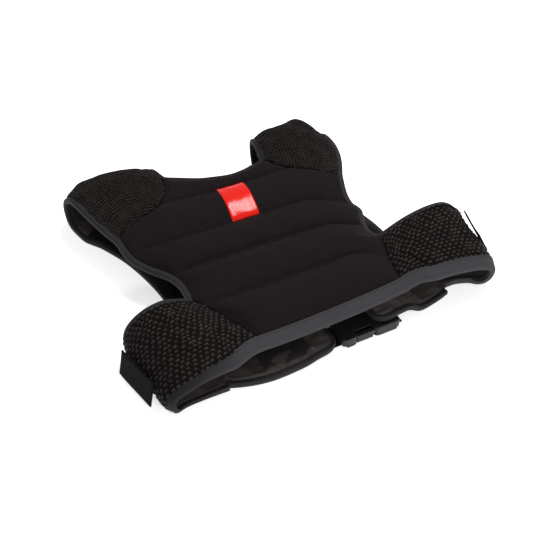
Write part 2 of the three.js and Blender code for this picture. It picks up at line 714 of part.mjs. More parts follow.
// The glossy label lies over the fourth channel and leans with the cloth.
function addLabel() {
  const rows = panelRows.filter((v) => v >= seamAlong("third") && v <= seamAlong("fourth"));
  const middle = mix(seamAlong("third"), seamAlong("fourth"), 0.5);
  const place = (share, v) => {
    const left = panelPlace(0, v).x;
    const right = panelPlace(1, v).x;
    const x = LABEL_MIDDLE_X + LABEL_LEAN * (v - middle) * LENGTH + (share - 0.5) * LABEL_WIDTH;
    return (x - left) / (right - left);
  };
  const layer = {
    mid: (share, v) => {
      const u = place(share, v);
      return backPanel.mid(u, v).addScaledVector(UP, backPanel.half(u, v).up + GAP);
    },
    normal: () => UP,
    half: () => ({ up: LABEL_THICKNESS, down: 0 }),
  };
  add("red_label", quilt(layer, evenly(3), rows), "label");
}

// The fastening patch on the left belt.
function addPatch() {
  const us = BELT_ROWS.slice(PATCH.from, PATCH.to + 1);
  const vs = BELT_COLUMNS.slice(PATCH.near, PATCH.far + 1);
  add("fastening_patch", onTop(belts.left, us, vs, PATCH_THICKNESS), "webbing");
}

// The webbing tab on a wing's side: a flat piece that touches the roll at its seat, a share of
// its length from its near end, and may lift off the roll from there.
function addTab(side) {
  const {
    round, along, drop, seat,
  } = TAB_PLACES[side];
  const sheet = wings[side];
  const out = sheet.normal(round, along);
  const clear = SHEET / 2 + GAP + TAB_THICKNESS / 2 + Math.sin(TAB_LIFT[side]) * seat * TAB_LENGTH;
  const place = sheet.mid(round, along).addScaledVector(out, clear);
  const step = 0.1;
  const level = sheet.mid(round, along + step).sub(sheet.mid(round, along - step)).normalize();
  const width = out.clone().cross(level).normalize();
  const length = level.clone().applyAxisAngle(width, -TAB_LIFT[side]);
  const normal = length.clone().cross(width).normalize();
  const downward = width.z < 0 ? 1 : -1;
  const plate = {
    mid: (u, v) => place.clone()
      .addScaledVector(length, (u - seat) * TAB_LENGTH)
      .addScaledVector(width, (v - 0.5 + drop * downward) * TAB_WIDTH),
    normal: () => normal,
    half: () => ({ up: TAB_THICKNESS / 2, down: TAB_THICKNESS / 2 }),
  };
  add(`side_tab_${side}`, quilt(plate, evenly(4), evenly(2)), "webbing");
}

// A box between two corners, and a flat piece cut to an outline, as solids.
function solidBox(low, high) {
  const size = high.map((value, k) => value - low[k]);
  const box = new THREE.BoxGeometry(...size);
  box.translate(...low.map((value, k) => value + size[k] / 2));
  return toSolid(box);
}

function roundedPlate(x0, x1, width, radius, thickness) {
  const half = width / 2;
  const shape = new THREE.Shape();
  shape.moveTo(x0 + radius, -half);
  shape.lineTo(x1 - radius, -half);
  shape.quadraticCurveTo(x1, -half, x1, -half + radius);
  shape.lineTo(x1, half - radius);
  shape.quadraticCurveTo(x1, half, x1 - radius, half);
  shape.lineTo(x0 + radius, half);
  shape.quadraticCurveTo(x0, half, x0, half - radius);
  shape.lineTo(x0, -half + radius);
  shape.quadraticCurveTo(x0, -half, x0 + radius, -half);
  const settings = { depth: thickness, bevelEnabled: false, curveSegments: 3 };
  return toSolid(new THREE.ExtrudeGeometry(shape, settings));
}

function toSolid(source) {
  const bare = source.index ? source.toNonIndexed() : source.clone();
  bare.deleteAttribute("normal");
  bare.deleteAttribute("uv");
  const merged = mergeVertices(bare, 1e-4);
  return new wasm.Manifold(new wasm.Mesh({
    numProp: 3,
    vertProperties: new Float32Array(merged.attributes.position.array),
    triVerts: new Uint32Array(merged.index.array),
  }));
}

function fromSolid(solid) {
  const { vertProperties, triVerts } = solid.getMesh();
  const geometry = new THREE.BufferGeometry();
  geometry.setAttribute("position", new THREE.BufferAttribute(new Float32Array(vertProperties), 3));
  geometry.setIndex(new THREE.BufferAttribute(new Uint32Array(triVerts), 1));
  geometry.computeVertexNormals();
  return geometry;
}

// The fastened buckle and the two webbings that it joins, all lying along the belts.
function addBuckle() {
  const plugEnd = PLUG_BASE;
  const bodyStart = BUCKLE_LENGTH - SOCKET_BODY;
  const half = BUCKLE_WIDTH / 2;
  const inner = BUCKLE_THICKNESS - 2 * BUCKLE_WALL;
  const recess = WEBBING_THICKNESS + GAP;
  const armY = half - BUCKLE_WALL - GAP - PLUG_ARM;
  const socketSlot = solidBox(
    [plugEnd, -half + BUCKLE_WALL, BUCKLE_WALL],
    [bodyStart + PLUG_ARM_LENGTH / 2, half - BUCKLE_WALL, BUCKLE_WALL + inner],
  );
  const sleeveEnd = bodyStart + SOCKET_CORNER;
  const socket = roundedPlate(bodyStart, BUCKLE_LENGTH, BUCKLE_WIDTH, SOCKET_CORNER, BUCKLE_THICKNESS)
    .add(roundedPlate(plugEnd + GAP, sleeveEnd, SOCKET_SLEEVE_WIDTH, SLEEVE_CORNER, BUCKLE_THICKNESS))
    .subtract(socketSlot)
    .subtract(solidBox(
      [BUCKLE_LENGTH - WEBBING_GRIP, -half - JOIN, -JOIN],
      [BUCKLE_LENGTH + JOIN, half + JOIN, recess],
    ));
  const armLow = BUCKLE_WALL + GAP;
  const armHigh = BUCKLE_THICKNESS - BUCKLE_WALL - GAP;
  const armEnd = plugEnd + PLUG_ARM_LENGTH;
  const plug = [1, -1].reduce((solid, turn) => {
    const arm = solidBox(
      [plugEnd - JOIN, Math.min(turn * armY, turn * (armY + PLUG_ARM)), armLow],
      [armEnd, Math.max(turn * armY, turn * (armY + PLUG_ARM)), armHigh],
    );
    const sides = [turn * (armY + BUTTON_INSET), turn * (half - BUTTON_INSET)];
    const button = solidBox(
      [plugEnd - JOIN, Math.min(...sides), BUCKLE_WALL / 2],
      [bodyStart - BUTTON_CLEARANCE, Math.max(...sides), BUCKLE_THICKNESS - BUCKLE_WALL / 2],
    );
    return solid.add(arm).add(button);
  }, roundedPlate(0, plugEnd, BUCKLE_WIDTH, PLUG_CORNER, BUCKLE_THICKNESS))
    .add(solidBox(
      [plugEnd - JOIN, -PLUG_TONGUE_WIDTH / 2, armLow],
      [armEnd - PLUG_ARM, PLUG_TONGUE_WIDTH / 2, armHigh],
    ))
    .subtract(solidBox([-JOIN, -half - JOIN, -JOIN], [WEBBING_GRIP, half + JOIN, recess]));
  const webbing = (x0, x1) => solidBox(
    [x0, -WEBBING_WIDTH / 2, 0],
    [x1, WEBBING_WIDTH / 2, WEBBING_THICKNESS],
  );
  placeOnBelts(add("buckle_socket", fromSolid(socket), "plastic"));
  placeOnBelts(add("buckle_plug", fromSolid(plug), "plastic"));
  placeOnBelts(add("webbing_left", fromSolid(webbing(-WEBBING_LENGTH.left, WEBBING_GRIP - GAP)), "webbing"));
  placeOnBelts(add("webbing_right", fromSolid(webbing(
    BUCKLE_LENGTH - WEBBING_GRIP + GAP,
    BUCKLE_LENGTH + WEBBING_LENGTH.right,
  )), "webbing"));
}

// Turns a hard piece with the hem's slant, less its own turn, and sets it between the belts.
function placeOnBelts(mesh) {
  mesh.rotation.z = Math.atan(HEM_SLANT) + BUCKLE_TURN;
  mesh.position.copy(lie(new THREE.Vector3(BUCKLE_LEFT_X, BUCKLE_MIDDLE_Y, 0)));
}

// The hem tape runs on from one wing, along the back panel, to the other wing. It turns in, and
// so narrows, round the left wing.
function addHemTape() {
  const path = joinPaths([
    border(wings.left, roundRoll(0)).reverse(),
    border(backPanel, evenly(PANEL_COLUMNS).map((u) => [u, panelRows[0]])),
    border(wings.right, roundRoll(0)),
  ], 1);
  const share = (at) => (
    mix(1, HEM_TAPE_NARROW, easeBetween(-at.x / HALF_WIDTH, HEM_TAPE_NARROWS))
  );
  const tape = band(path, {
    width: HEM_TAPE_WIDTH, hand: 1, droop: HEM_TAPE_DROOP, share,
  });
  add("hem_tape", tape, "hemTape");
}

// The neck binding runs over both shoulders and along the neckline between them.
function addNeckBinding() {
  const neckRow = panelRows[panelRows.length - 1];
  const path = joinPaths([
    border(yokes.left, roundRoll(0)).reverse(),
    border(backPanel, evenly(PANEL_COLUMNS).map((u) => [u, neckRow])),
    border(yokes.right, roundRoll(0)),
  ], 4);
  add("neck_binding", band(path, { width: BINDING_WIDTH, hand: -1 }), "binding");
}

// The bound edges of one side: the armhole from back to front, the wing's upper edge, and the
// belt's edge round its nose.
function addBindings(side) {
  const { hand } = wings[side];
  const armStart = seamAlong("flank_corner") + BINDING_WIDTH / LENGTH / 1.2;
  const armRows = panelRows.filter((row) => row > armStart && row <= seamAlong("yoke_corner"));
  const armhole = joinPaths([
    border(backPanel, armRows.map((row) => [sideEdge(side), row])),
    border(yokes[side], roundRoll(1)),
    border(fronts[side], evenly(14).reverse().filter((v) => v > 0.32).map((v) => [1, v]))
      .map(({ at }) => ({ at, up: UP.clone().negate() })),
  ], 3);
  add(`armhole_binding_${side}`, band(armhole, { width: BINDING_WIDTH, hand }), "binding");
  const upper = border(wings[side], roundRoll(1).filter(([u]) => u < 0.95));
  add(`wing_binding_${side}`, band(upper, { width: BINDING_WIDTH, hand: -hand }), "binding");
  const farFrom = side === "left" ? frontEdge("inner", side, FRONT_START) : BUCKLE_RIGHT_X;
  const farRows = BELT_ROWS.filter((u) => belts[side].mid(u, 1).x * hand < farFrom);
  const beltEdge = joinPaths([
    border(belts[side], BELT_ROWS.slice(1).map((u) => [u, 0])),
    border(belts[side], farRows.reverse().map((u) => [u, 1])),
  ], 1.2);
  add(`belt_binding_${side}`, band(beltEdge, { width: BINDING_WIDTH, hand: -hand }), "binding");
}

// The origin goes under the middle of the vest's box.
group.updateMatrixWorld(true);
const box = new THREE.Box3().setFromObject(group, true);
group.position.set(-(box.min.x + box.max.x) / 2, -(box.min.y + box.max.y) / 2, -box.min.z);

export default group;
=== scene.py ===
import math

import bpy
import numpy as np
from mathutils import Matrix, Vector


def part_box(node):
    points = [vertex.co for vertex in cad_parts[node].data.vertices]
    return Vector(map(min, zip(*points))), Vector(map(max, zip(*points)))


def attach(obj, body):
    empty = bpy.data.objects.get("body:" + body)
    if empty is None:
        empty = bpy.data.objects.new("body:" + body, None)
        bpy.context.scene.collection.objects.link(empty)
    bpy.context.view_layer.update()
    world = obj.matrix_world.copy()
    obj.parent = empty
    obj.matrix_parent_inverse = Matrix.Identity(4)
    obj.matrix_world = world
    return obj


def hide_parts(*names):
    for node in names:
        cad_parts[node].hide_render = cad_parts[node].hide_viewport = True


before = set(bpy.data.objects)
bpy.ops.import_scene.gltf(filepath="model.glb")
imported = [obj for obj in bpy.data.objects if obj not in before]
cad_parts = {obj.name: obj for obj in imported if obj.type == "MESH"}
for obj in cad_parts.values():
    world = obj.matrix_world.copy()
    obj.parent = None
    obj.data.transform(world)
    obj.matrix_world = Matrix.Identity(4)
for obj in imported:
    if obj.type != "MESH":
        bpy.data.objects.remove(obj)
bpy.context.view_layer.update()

# Weighted vest: the cloth, net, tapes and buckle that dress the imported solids.
# Sizes and tables are in millimetres of the vest's even layout, as the solids were drawn;
# laid() moves a point to where the cloth lies, in metres of the shared frame.

MM = 0.001
SIDES = ("left", "right")
HAND = {"left": -1, "right": 1}

# Overall sizes of the vest as it lies.
HALF_WIDTH = 212
LENGTH = 350
PANEL_HEIGHT = 40

# Walls and fillings.
SHEET = 8
CHANNEL_CROWN = 7
CHANNEL_BELLY = 4
LAST_CHANNEL_FILL = 0.5
FRONT_PUFF = 6
BELT_PUFF = 4.5

# The clearance between pieces, and how far a rolled sheet runs in under the back panel's edge.
GAP = 0.3
SEAM_OVERLAP = 0.5

# Bound edges. The hem tape leans down as it goes out. On its way round the left roll it narrows and
# thins, between two shares of HALF_WIDTH.
BINDING_WIDTH = 5.2
BINDING_TALL = 2.9
BINDING_WALL = 0.5
BINDING_OVERLAP = 1.6
HEM_TAPE_WIDTH = 10.5
HEM_TAPE_DROOP = 0.45
HEM_TAPE_NARROW = 0.55
HEM_TAPE_NARROWS = (0.45, 0.8)
HEM_TAPE_THIN = 0.68
HEM_TAPE_TALL = 3.4
HEM_TAPE_RIBS = 7
HEM_TAPE_RELIEF = 0.22
HEM_TAPE_OVERLAP = 1.5
HEM_TAPE_NOSE = 1.2

# How the cloth lies.
HEM_SLANT = 0.075
SLANT_FADE = (0.086, 0.343)

# Shoulder and wing rolls.
ROLL_SIDE_HEIGHT = 27
ROLL_RISE_END = 0.34
ROLL_OVER_END = 0.58
ROLL_UNDER_END = 0.8
ROLL_LEVEL_START = 0.12
SHOULDER_LEAN = math.radians(13)
SHOULDER_FLARE = {"left": 2, "right": 9}
FLARE_REACH = 0.9
SHOULDER_TUCK = 26
SHOULDER_FLOOR = 17

# Front belts, buckle and webbing.
BELT_WIDTH = 34
BELT_NEAR_Y = -1
BELT_RISE = {"left": 13, "right": 14}
BELT_RISE_SPAN = 60
BELT_SAG = {"left": 4, "right": -4.5}
LEFT_NOSE_X = 1
NOSE_RADIUS = 15
NOSE_BLUNT = 2
WEBBING_RAMP = 13
BUCKLE_RAMP = 25
RAMP_START = 2.6
BUCKLE_RAMP_START = 11.5
BELT_OVER_BUCKLE = 24.5
BUCKLE_LENGTH = 74
BUCKLE_THICKNESS = 11
BUCKLE_CLEARANCE = 2.3
WEBBING_THICKNESS = 1.8
WEBBING_LENGTH = {"left": 30, "right": 14}
WEBBING_SHOWN = 6
BUCKLE_EDGE = 1.1
WEBBING_EDGE = 0.5
BUCKLE_LEFT_X = LEFT_NOSE_X + BINDING_WIDTH + BUCKLE_CLEARANCE
BUCKLE_RIGHT_X = BUCKLE_LEFT_X + BUCKLE_LENGTH
RIGHT_NOSE_X = BUCKLE_RIGHT_X - BELT_OVER_BUCKLE
WEBBING_OUTER = {
    "left": WEBBING_LENGTH["left"] - BUCKLE_LEFT_X,
    "right": BUCKLE_RIGHT_X + WEBBING_LENGTH["right"],
}

# Trim.
LABEL_WIDTH = 35
LABEL_THICKNESS = 1.1
LABEL_LEAN = 0.12
LABEL_MIDDLE_X = 0.5
LABEL_ROWS = (0.585, 0.762)
LABEL_SMOOTHING = 10
LABEL_RIM = 1.6
LABEL_RIM_SHARE = 0.55
PATCH_THICKNESS = 1.2
PATCH_ALONG = (0.34, 0.77)
PATCH_ACROSS = (0.1, 0.76)
TAB_LENGTH = 54
TAB_WIDTH = 30
TAB_THICKNESS = 2
TAB_RIM = 1.5
TAB_RIM_SHARE = 0.72
TAB_PLACES = {
    "left": {"round": 0.57, "along": 0.48, "drop": 0.28, "seat": 0.5, "lift": 0},
    "right": {"round": 0.54, "along": 0.47, "drop": 0, "seat": 0.3, "lift": 0.07},
}

# Stitches along the bound edges: their spacing, size and unevenness, and how far outwards and how
# high each row of them lies.
STITCH_STEP = 4.2
STITCH_SIZE = (3.0, 0.7, 0.5)
STITCH_UNEVENNESS = 0.08
STITCH_SEED = 13
HEM_STITCHES = {"out": 0.4, "high": 3.9}
BINDING_STITCHES = {"out": 0.2, "high": 3.45}

# Paths of the bound edges: the step between their places, and the least way from one to the next
# where two borders meet, how far along their borders the bindings start and end, and how many times
# a path's corners are eased.
PATH_STEP = 2.0
PATH_APART = 1.0
BELT_BINDING_FROM = 0.01
ARMHOLE_BINDING_TO = 0.33
WING_BINDING_TO = 0.95
PATH_ROUNDS = 6

# The quilting seams: how deep their thread draws the cloth in, and how far that reaches.
SEAM_CREASE = 1.9
SEAM_REACH = 6

# The uneven lie of each cloth: the height and length of its waves in millimetres, and their seed.
# The pucker is the back panel's beside its seams, and the net drifts along its cloth.
WAVES = {
    "panel": {"height": 0.14, "wavelength": 30, "seed": 5},
    "pucker": {"height": 0.5, "wavelength": 11, "seed": 41},
    "roll": {"height": 0.5, "wavelength": 33, "seed": 11},
    "lining": {"height": 0.8, "wavelength": 15, "seed": 23},
    "front": {"height": 0.5, "wavelength": 24, "seed": 21},
    "belt": {"height": 0.9, "wavelength": 13, "seed": 31},
    "tab": {"height": 0.35, "wavelength": 60, "seed": 9},
    "net": {"height": 1.1, "wavelength": 26, "seed": 17},
}
RIPPLE_WAVES = 7

# The raised nets: the size of a cell along and across the cloth, the height of the strands and how
# far they stand off it, how near to the floor they start, the share of a cell that the first row
# keeps from the edge and the millimetres that each row does, and how much the elements' sizes vary.
WING_CELL = (7.2, 4.4)
YOKE_CELL = (4.2, 3.6)
NET_HEIGHT = 1.3
NET_RISE = 0.15
NET_FROM = 4
NET_MARGIN = 0.6
NET_INSET = 2
NET_UNEVENNESS = 0.24
NET_SEED = 7

# How each skin is drawn in beside its edges, as (depth, reach) at the start and end of u and of v.
FALLS = {
    "panel": [(2.4, 9), (2.4, 9), (1.0, 6), (1.6, 7)],
    "wing": [(2.2, 7), (1, 5), (2.4, 8), (1.2, 6)],
    "yoke": [(2.0, 7), (1, 5), (1.2, 6), (1.2, 6)],
    "front": [(1.5, 8), (1.5, 8), (2, 8), (1, 5)],
    "belt": [(1, 5), (1.5, 5), (1.6, 7), (1.2, 6)],
}

# Points across and along each grid of cloth. The back panel's rows follow its seams instead, and
# lie about PANEL_ROW_STEP millimetres apart.
GRIDS = {"panel": (141, None), "wing": (121, 47), "yoke": (101, 47), "front": (49, 111), "belt": (91, 27)}
PANEL_ROW_STEP = 2.2

# The swelling of the filled pieces as cloth: how far it may move, in millimetres, how much longer
# it is than its place, and how many rows and columns of the grid each step of the coarse one takes.
CLOTH_FRAMES = 20
CLOTH_PRESSURE = 4.0
SWELL = {
    "panel": {"cap": 2.5, "growth": 0.004, "every": 2},
    "roll": {"cap": 1.0, "growth": 0.008, "every": 2},
    "front": {"cap": 3.0, "growth": 0.02, "every": 3},
    "belt": {"cap": 2.0, "growth": 0.03, "every": 2},
}
FLOOR_CLEAR = 0.0001

# Quilting seams of the back panel, as shares of LENGTH.
SEAMS = {"hem": 0.037, "first": 0.24, "second": 0.427, "third": 0.583, "fourth": 0.769, "neck": 0.846}
FLANK_CORNER = 0.277
YOKE_CORNER = 0.663

# How far a line along the seams turns down towards its right end, in shares of LENGTH.
SEAM_BENDS = [
    {"along": SEAMS["hem"], "bend": 0},
    {"along": SEAMS["first"], "bend": 0.07},
    {"along": FLANK_CORNER, "bend": 0},
    {"along": SEAMS["second"], "bend": 0.04},
    {"along": SEAMS["third"], "bend": 0.06},
    {"along": YOKE_CORNER, "bend": 0},
    {"along": SEAMS["fourth"], "bend": 0},
]
BEND_START = 0.8

# The back panel's outline: its half widths in shares of HALF_WIDTH, and how high its middle and its
# sides lie, in shares of PANEL_HEIGHT.
PANEL_EDGES = [
    {"along": 0.037, "left": 0.396, "right": 0.443, "middle": 1.02, "side": 1.1},
    {"along": 0.14, "left": 0.458, "right": 0.476, "middle": 1.0, "side": 1.08},
    {"along": 0.211, "left": 0.509, "right": 0.509, "middle": 1.0, "side": 1.07},
    {"along": 0.277, "left": 0.571, "right": 0.542, "middle": 0.98, "side": 1.04, "corner": True},
    {"along": 0.32, "left": 0.558, "right": 0.51, "middle": 0.975, "side": 0.97},
    {"along": 0.371, "left": 0.552, "right": 0.52, "middle": 0.97, "side": 0.92},
    {"along": 0.429, "left": 0.571, "right": 0.552, "middle": 0.96, "side": 0.88},
    {"along": 0.467, "left": 0.608, "right": 0.58, "middle": 0.95, "side": 0.87},
    {"along": 0.503, "left": 0.65, "right": 0.562, "middle": 0.94, "side": 0.88},
    {"along": 0.569, "left": 0.7, "right": 0.58, "middle": 0.92, "side": 0.92},
    {"along": 0.663, "left": 0.712, "right": 0.637, "middle": 0.93, "side": 1.0, "corner": True},
    {"along": 0.689, "left": 0.651, "right": 0.585, "middle": 0.93, "side": 1.03},
    {"along": 0.717, "left": 0.571, "right": 0.524, "middle": 0.94, "side": 1.05},
    {"along": 0.746, "left": 0.472, "right": 0.453, "middle": 0.95, "side": 1.06},
    {"along": 0.774, "left": 0.392, "right": 0.396, "middle": 0.95, "side": 1.06},
    {"along": 0.809, "left": 0.325, "right": 0.349, "middle": 0.96, "side": 1.06},
    {"along": 0.846, "left": 0.29, "right": 0.32, "middle": 0.98, "side": 1.06},
]

# The neckline's curve: how far it rises above the last seam, in shares of NECK_RISE.
NECK_RISE = 20
NECK_ROWS = [
    {"across": 0, "rise": 1},
    {"across": 0.15, "rise": 0.6},
    {"across": 0.31, "rise": 0.1},
    {"across": 0.45, "rise": -0.16},
    {"across": 0.6, "rise": -0.38},
    {"across": 0.72, "rise": -0.36},
    {"across": 0.85, "rise": -0.2},
    {"across": 1, "rise": 0.12},
]

# The wings, from the hem to the flank: where each row peaks, turns over the side and meets the
# floor, in shares of HALF_WIDTH, its height in shares of PANEL_HEIGHT, and where its side and its
# tucked end lie along the vest, in shares of LENGTH.
WING_ROWS = [
    {"along": 0, "peak_left": 0.6, "peak_right": 0.6, "peak_z": 1.16,
     "side_left": 0.968, "side_right": 0.97, "floor_x": 0.895,
     "turn_left": -0.006, "turn_right": 0.003, "under_left": 0.022, "under_right": 0.072},
    {"along": 0.35, "peak_left": 0.67, "peak_right": 0.68, "peak_z": 1.28,
     "side_left": 0.996, "side_right": 0.99, "floor_x": 0.9,
     "turn_left": 0.098, "turn_right": 0.088, "under_left": 0.094, "under_right": 0.115},
    {"along": 0.7, "peak_left": 0.74, "peak_right": 0.77, "peak_z": 1.4,
     "side_left": 1.018, "side_right": 1.0, "floor_x": 0.92,
     "turn_left": 0.19, "turn_right": 0.19, "under_left": 0.163, "under_right": 0.168},
    {"along": 1, "peak_left": 0.8, "peak_right": 0.86, "peak_z": 1.46,
     "side_left": 0.985, "side_right": 1.0, "floor_x": 0.92,
     "turn_left": 0.258, "turn_right": 0.265, "under_left": 0.215, "under_right": 0.215},
]
WING_TURN_OVER = (0.1, 0.5)
WING_TURN_UNDER = {"left": (0.6, 0.85), "right": (0.62, 0.95)}
WING_PEAK = {"left": 0.93, "right": 1.08}
WING_SWELL = {"left": 1, "right": 0.5}
WING_REACH = {"left": 0.955, "right": 1.03}

# The yokes, from the neck to the armhole: how far the crest reaches in shares of LENGTH, how high it
# peaks in shares of PANEL_HEIGHT, and where on its way out.
YOKE_ROWS = [
    {"across": 0, "crest_left": 1.005, "crest_right": 1.026, "peak_z": 1.08, "peak": 0.5},
    {"across": 0.3, "crest_left": 1.028, "crest_right": 1.03, "peak_z": 1.2, "peak": 0.7},
    {"across": 0.55, "crest_left": 1.03, "crest_right": 1.03, "peak_z": 1.26, "peak": 0.74},
    {"across": 0.78, "crest_left": 1.018, "crest_right": 1.042, "peak_z": 1.24, "peak": 0.76},
    {"across": 1, "crest_left": 0.972, "crest_right": 0.93, "peak_z": 1.16, "peak": 0.78},
]

# The front panels under the back, in shares of HALF_WIDTH.
FRONT_START = (BELT_NEAR_Y + BELT_WIDTH + GAP) / LENGTH
FRONT_TOP = 0.9
FRONT_EDGES = [
    {"along": 0, "inner_left": 0.21, "inner_right": 0.42, "outer_left": 0.6, "outer_right": 0.742},
    {"along": FRONT_START, "inner_left": 0.21, "inner_right": 0.42, "outer_left": 0.6,
     "outer_right": 0.742, "corner": True},
    {"along": 0.14, "inner_left": 0.21, "inner_right": 0.3, "outer_left": 0.604, "outer_right": 0.724},
    {"along": 0.2, "inner_left": 0.215, "inner_right": 0.24, "outer_left": 0.618, "outer_right": 0.704},
    {"along": 0.277, "inner_left": 0.22, "inner_right": 0.22, "outer_left": 0.63, "outer_right": 0.691},
    {"along": 0.371, "inner_left": 0.225, "inner_right": 0.225, "outer_left": 0.6, "outer_right": 0.69},
    {"along": 0.46, "inner_left": 0.235, "inner_right": 0.235, "outer_left": 0.595, "outer_right": 0.685},
    {"along": 0.566, "inner_left": 0.245, "inner_right": 0.245, "outer_left": 0.615, "outer_right": 0.66},
    {"along": 0.677, "inner_left": 0.255, "inner_right": 0.255, "outer_left": 0.655, "outer_right": 0.65},
    {"along": 0.751, "inner_left": 0.265, "inner_right": 0.265, "outer_left": 0.7, "outer_right": 0.69},
    {"along": 0.8, "inner_left": 0.27, "inner_right": 0.27, "outer_left": 0.735, "outer_right": 0.722},
]


# Curves and tables

def clamp01(value):
    return np.clip(value, 0.0, 1.0)


def ease(value):
    t = clamp01(value)
    return t * t * (3 - 2 * t)


def ease_between(value, ends):
    return ease((value - ends[0]) / (ends[1] - ends[0]))


def mix(start, end, share):
    return start + (end - start) * share


def evenly(count):
    return np.linspace(0.0, 1.0, count)


def column(rows, key, name, at):
    """Reads a table's column between its rows: smooth, with sharp turns only at corners."""
    at = np.asarray(at, float)
    x = np.array([row[key] for row in rows], float)
    y = np.array([row[name] for row in rows], float)
    sharp = np.array([row.get("corner", False) for row in rows])
    k = np.clip(np.searchsorted(x, at, side="left") - 1, 0, len(rows) - 2)
    step = np.diff(y) / np.diff(x)
    wide = (y[2:] - y[:-2]) / (x[2:] - x[:-2])
    before = np.where(sharp[k] | (k == 0), step[k], wide[np.maximum(k, 1) - 1])
    last = k == len(rows) - 2
    after = np.where(sharp[k + 1] | last, step[k], wide[np.minimum(k, len(wide) - 1)])
    span = x[k + 1] - x[k]
    t = clamp01((at - x[k]) / span)
    return ((2 * t ** 3 - 3 * t ** 2 + 1) * y[k] + (t ** 3 - 2 * t ** 2 + t) * span * before
            + (3 * t ** 2 - 2 * t ** 3) * y[k + 1] + (t ** 3 - t ** 2) * span * after)


def vectors(x, y, z):
    return np.stack(np.broadcast_arrays(np.asarray(x, float), y, z), axis=-1)


def unit(v):
    return v / np.maximum(np.linalg.norm(v, axis=-1, keepdims=True), 1e-9)


def ripple(x, y, wavelength, seed):
    """Smooth uneven height of about 1 to -1: a few plane waves in fixed random directions."""
    rng = np.random.default_rng(seed)
    total = 0
    for _ in range(RIPPLE_WAVES):
        turn, phase, pace = rng.uniform(0, 2 * math.pi), rng.uniform(0, 2 * math.pi), rng.uniform(0.7, 1.4)
        run = x * math.cos(turn) + y * math.sin(turn)
        total = total + np.sin(run * 2 * math.pi * pace / wavelength + phase)
    return total / math.sqrt(RIPPLE_WAVES)


def waves(name, x, y):
    """The uneven lie of one cloth at places in millimetres, in millimetres."""
    wave = WAVES[name]
    return wave["height"] * ripple(x, y, wave["wavelength"], wave["seed"])


# The vest's sheets. Each has mid(u, v), normal(u, v) and half(u, v), which gives how far the upper
# and the lower skin stand from the middle.

class Sheet:
    def __init__(self, mid, normal, half):
        self.mid = mid
        self.normal = normal
        self.half = half


def flat_up(u, v):
    return vectors(np.zeros(np.broadcast(u, v).shape), 0.0, 1.0)


def bent(u, row):
    """The share of LENGTH that a line along the seams, which starts out at row, has at u."""
    bend = np.interp(row, [line["along"] for line in SEAM_BENDS], [line["bend"] for line in SEAM_BENDS])
    return row - bend * ease_between(u, (BEND_START, 1))


def panel_place(u, v):
    left = -HALF_WIDTH * column(PANEL_EDGES, "along", "left", v)
    right = HALF_WIDTH * column(PANEL_EDGES, "along", "right", v)
    x = mix(left, right, u)
    arch = ease((v - SEAMS["fourth"]) / (SEAMS["neck"] - SEAMS["fourth"]))
    return x, v * LENGTH + arch * NECK_RISE * column(NECK_ROWS, "across", "rise", u)


def channel_share(row):
    """How far row is on from one quilting seam to the next, and the number of that channel."""
    at = np.array(list(SEAMS.values()))
    k = np.clip(np.searchsorted(at, row, side="left") - 1, 0, len(at) - 2)
    return clamp01((row - at[k]) / (at[k + 1] - at[k])), k


def make_panel():
    def mid(u, row):
        v = bent(u, row)
        x, y = panel_place(u, v)
        side = np.abs(2 * u - 1) ** 2.5
        middle = column(PANEL_EDGES, "along", "middle", v)
        edge = column(PANEL_EDGES, "along", "side", v)
        return vectors(x, y, PANEL_HEIGHT * mix(middle, edge, side))

    def half(u, row):
        share, k = channel_share(row)
        level = np.where(k == len(SEAMS) - 2, LAST_CHANNEL_FILL, 1.0)
        fill = level * np.sqrt(4 * share * (1 - share)) * (1 - np.abs(2 * u - 1) ** 6)
        return SHEET / 2 + CHANNEL_CROWN * fill, SHEET / 2 + CHANNEL_BELLY * fill

    return Sheet(mid, flat_up, half)


def roll_point(share, roll):
    """The section of a roll: it rises, turns over the side, comes down and runs in under itself."""
    floor_z = SHEET / 2
    rise = clamp01(share / ROLL_RISE_END)
    over = clamp01((share - ROLL_RISE_END) / (ROLL_OVER_END - ROLL_RISE_END)) * math.pi / 2
    down = clamp01((share - ROLL_OVER_END) / (ROLL_UNDER_END - ROLL_OVER_END))
    back = (1 - down) * math.pi / 2
    tuck = clamp01((share - ROLL_UNDER_END) / (1 - ROLL_UNDER_END))
    legs_r = [
        mix(roll["start_r"], roll["peak_r"], rise),
        mix(roll["peak_r"], roll["side_r"], np.sin(over)),
        mix(roll["floor_r"], roll["side_r"], np.sin(back)),
        mix(roll["floor_r"], roll["end_r"], tuck),
    ]
    legs_z = [
        mix(roll["start_z"], roll["peak_z"], ease(rise) ** roll["swell"]),
        mix(ROLL_SIDE_HEIGHT, roll["peak_z"], np.cos(over)),
        mix(ROLL_SIDE_HEIGHT, floor_z, np.cos(back)),
        floor_z + 0 * tuck,
    ]
    which = [share <= ROLL_RISE_END, share <= ROLL_OVER_END, share <= ROLL_UNDER_END, share <= 2]
    legs_r = [np.broadcast_to(leg, which[0].shape) for leg in legs_r]
    legs_z = [np.broadcast_to(leg, which[0].shape) for leg in legs_z]
    return np.select(which, legs_r), np.select(which, legs_z)


def roll_normal(share, roll):
    step = 0.004
    r0, z0 = roll_point(np.maximum(0, share - step), roll)
    r1, z1 = roll_point(np.minimum(1, share + step), roll)
    size = np.hypot(r1 - r0, z1 - z0)
    plumb = 1 - ease(share / ROLL_LEVEL_START)
    out = mix(-(z1 - z0) / size, 0, plumb)
    up = mix((r1 - r0) / size, 1, plumb)
    size = np.hypot(out, up)
    return out / size, up / size


def even_sheet(u, v):
    half = np.full(np.broadcast(u, v).shape, SHEET / 2)
    return half, half


def front_edge(edge, side, along):
    return HALF_WIDTH * column(FRONT_EDGES, "along", f"{edge}_{side}", along)


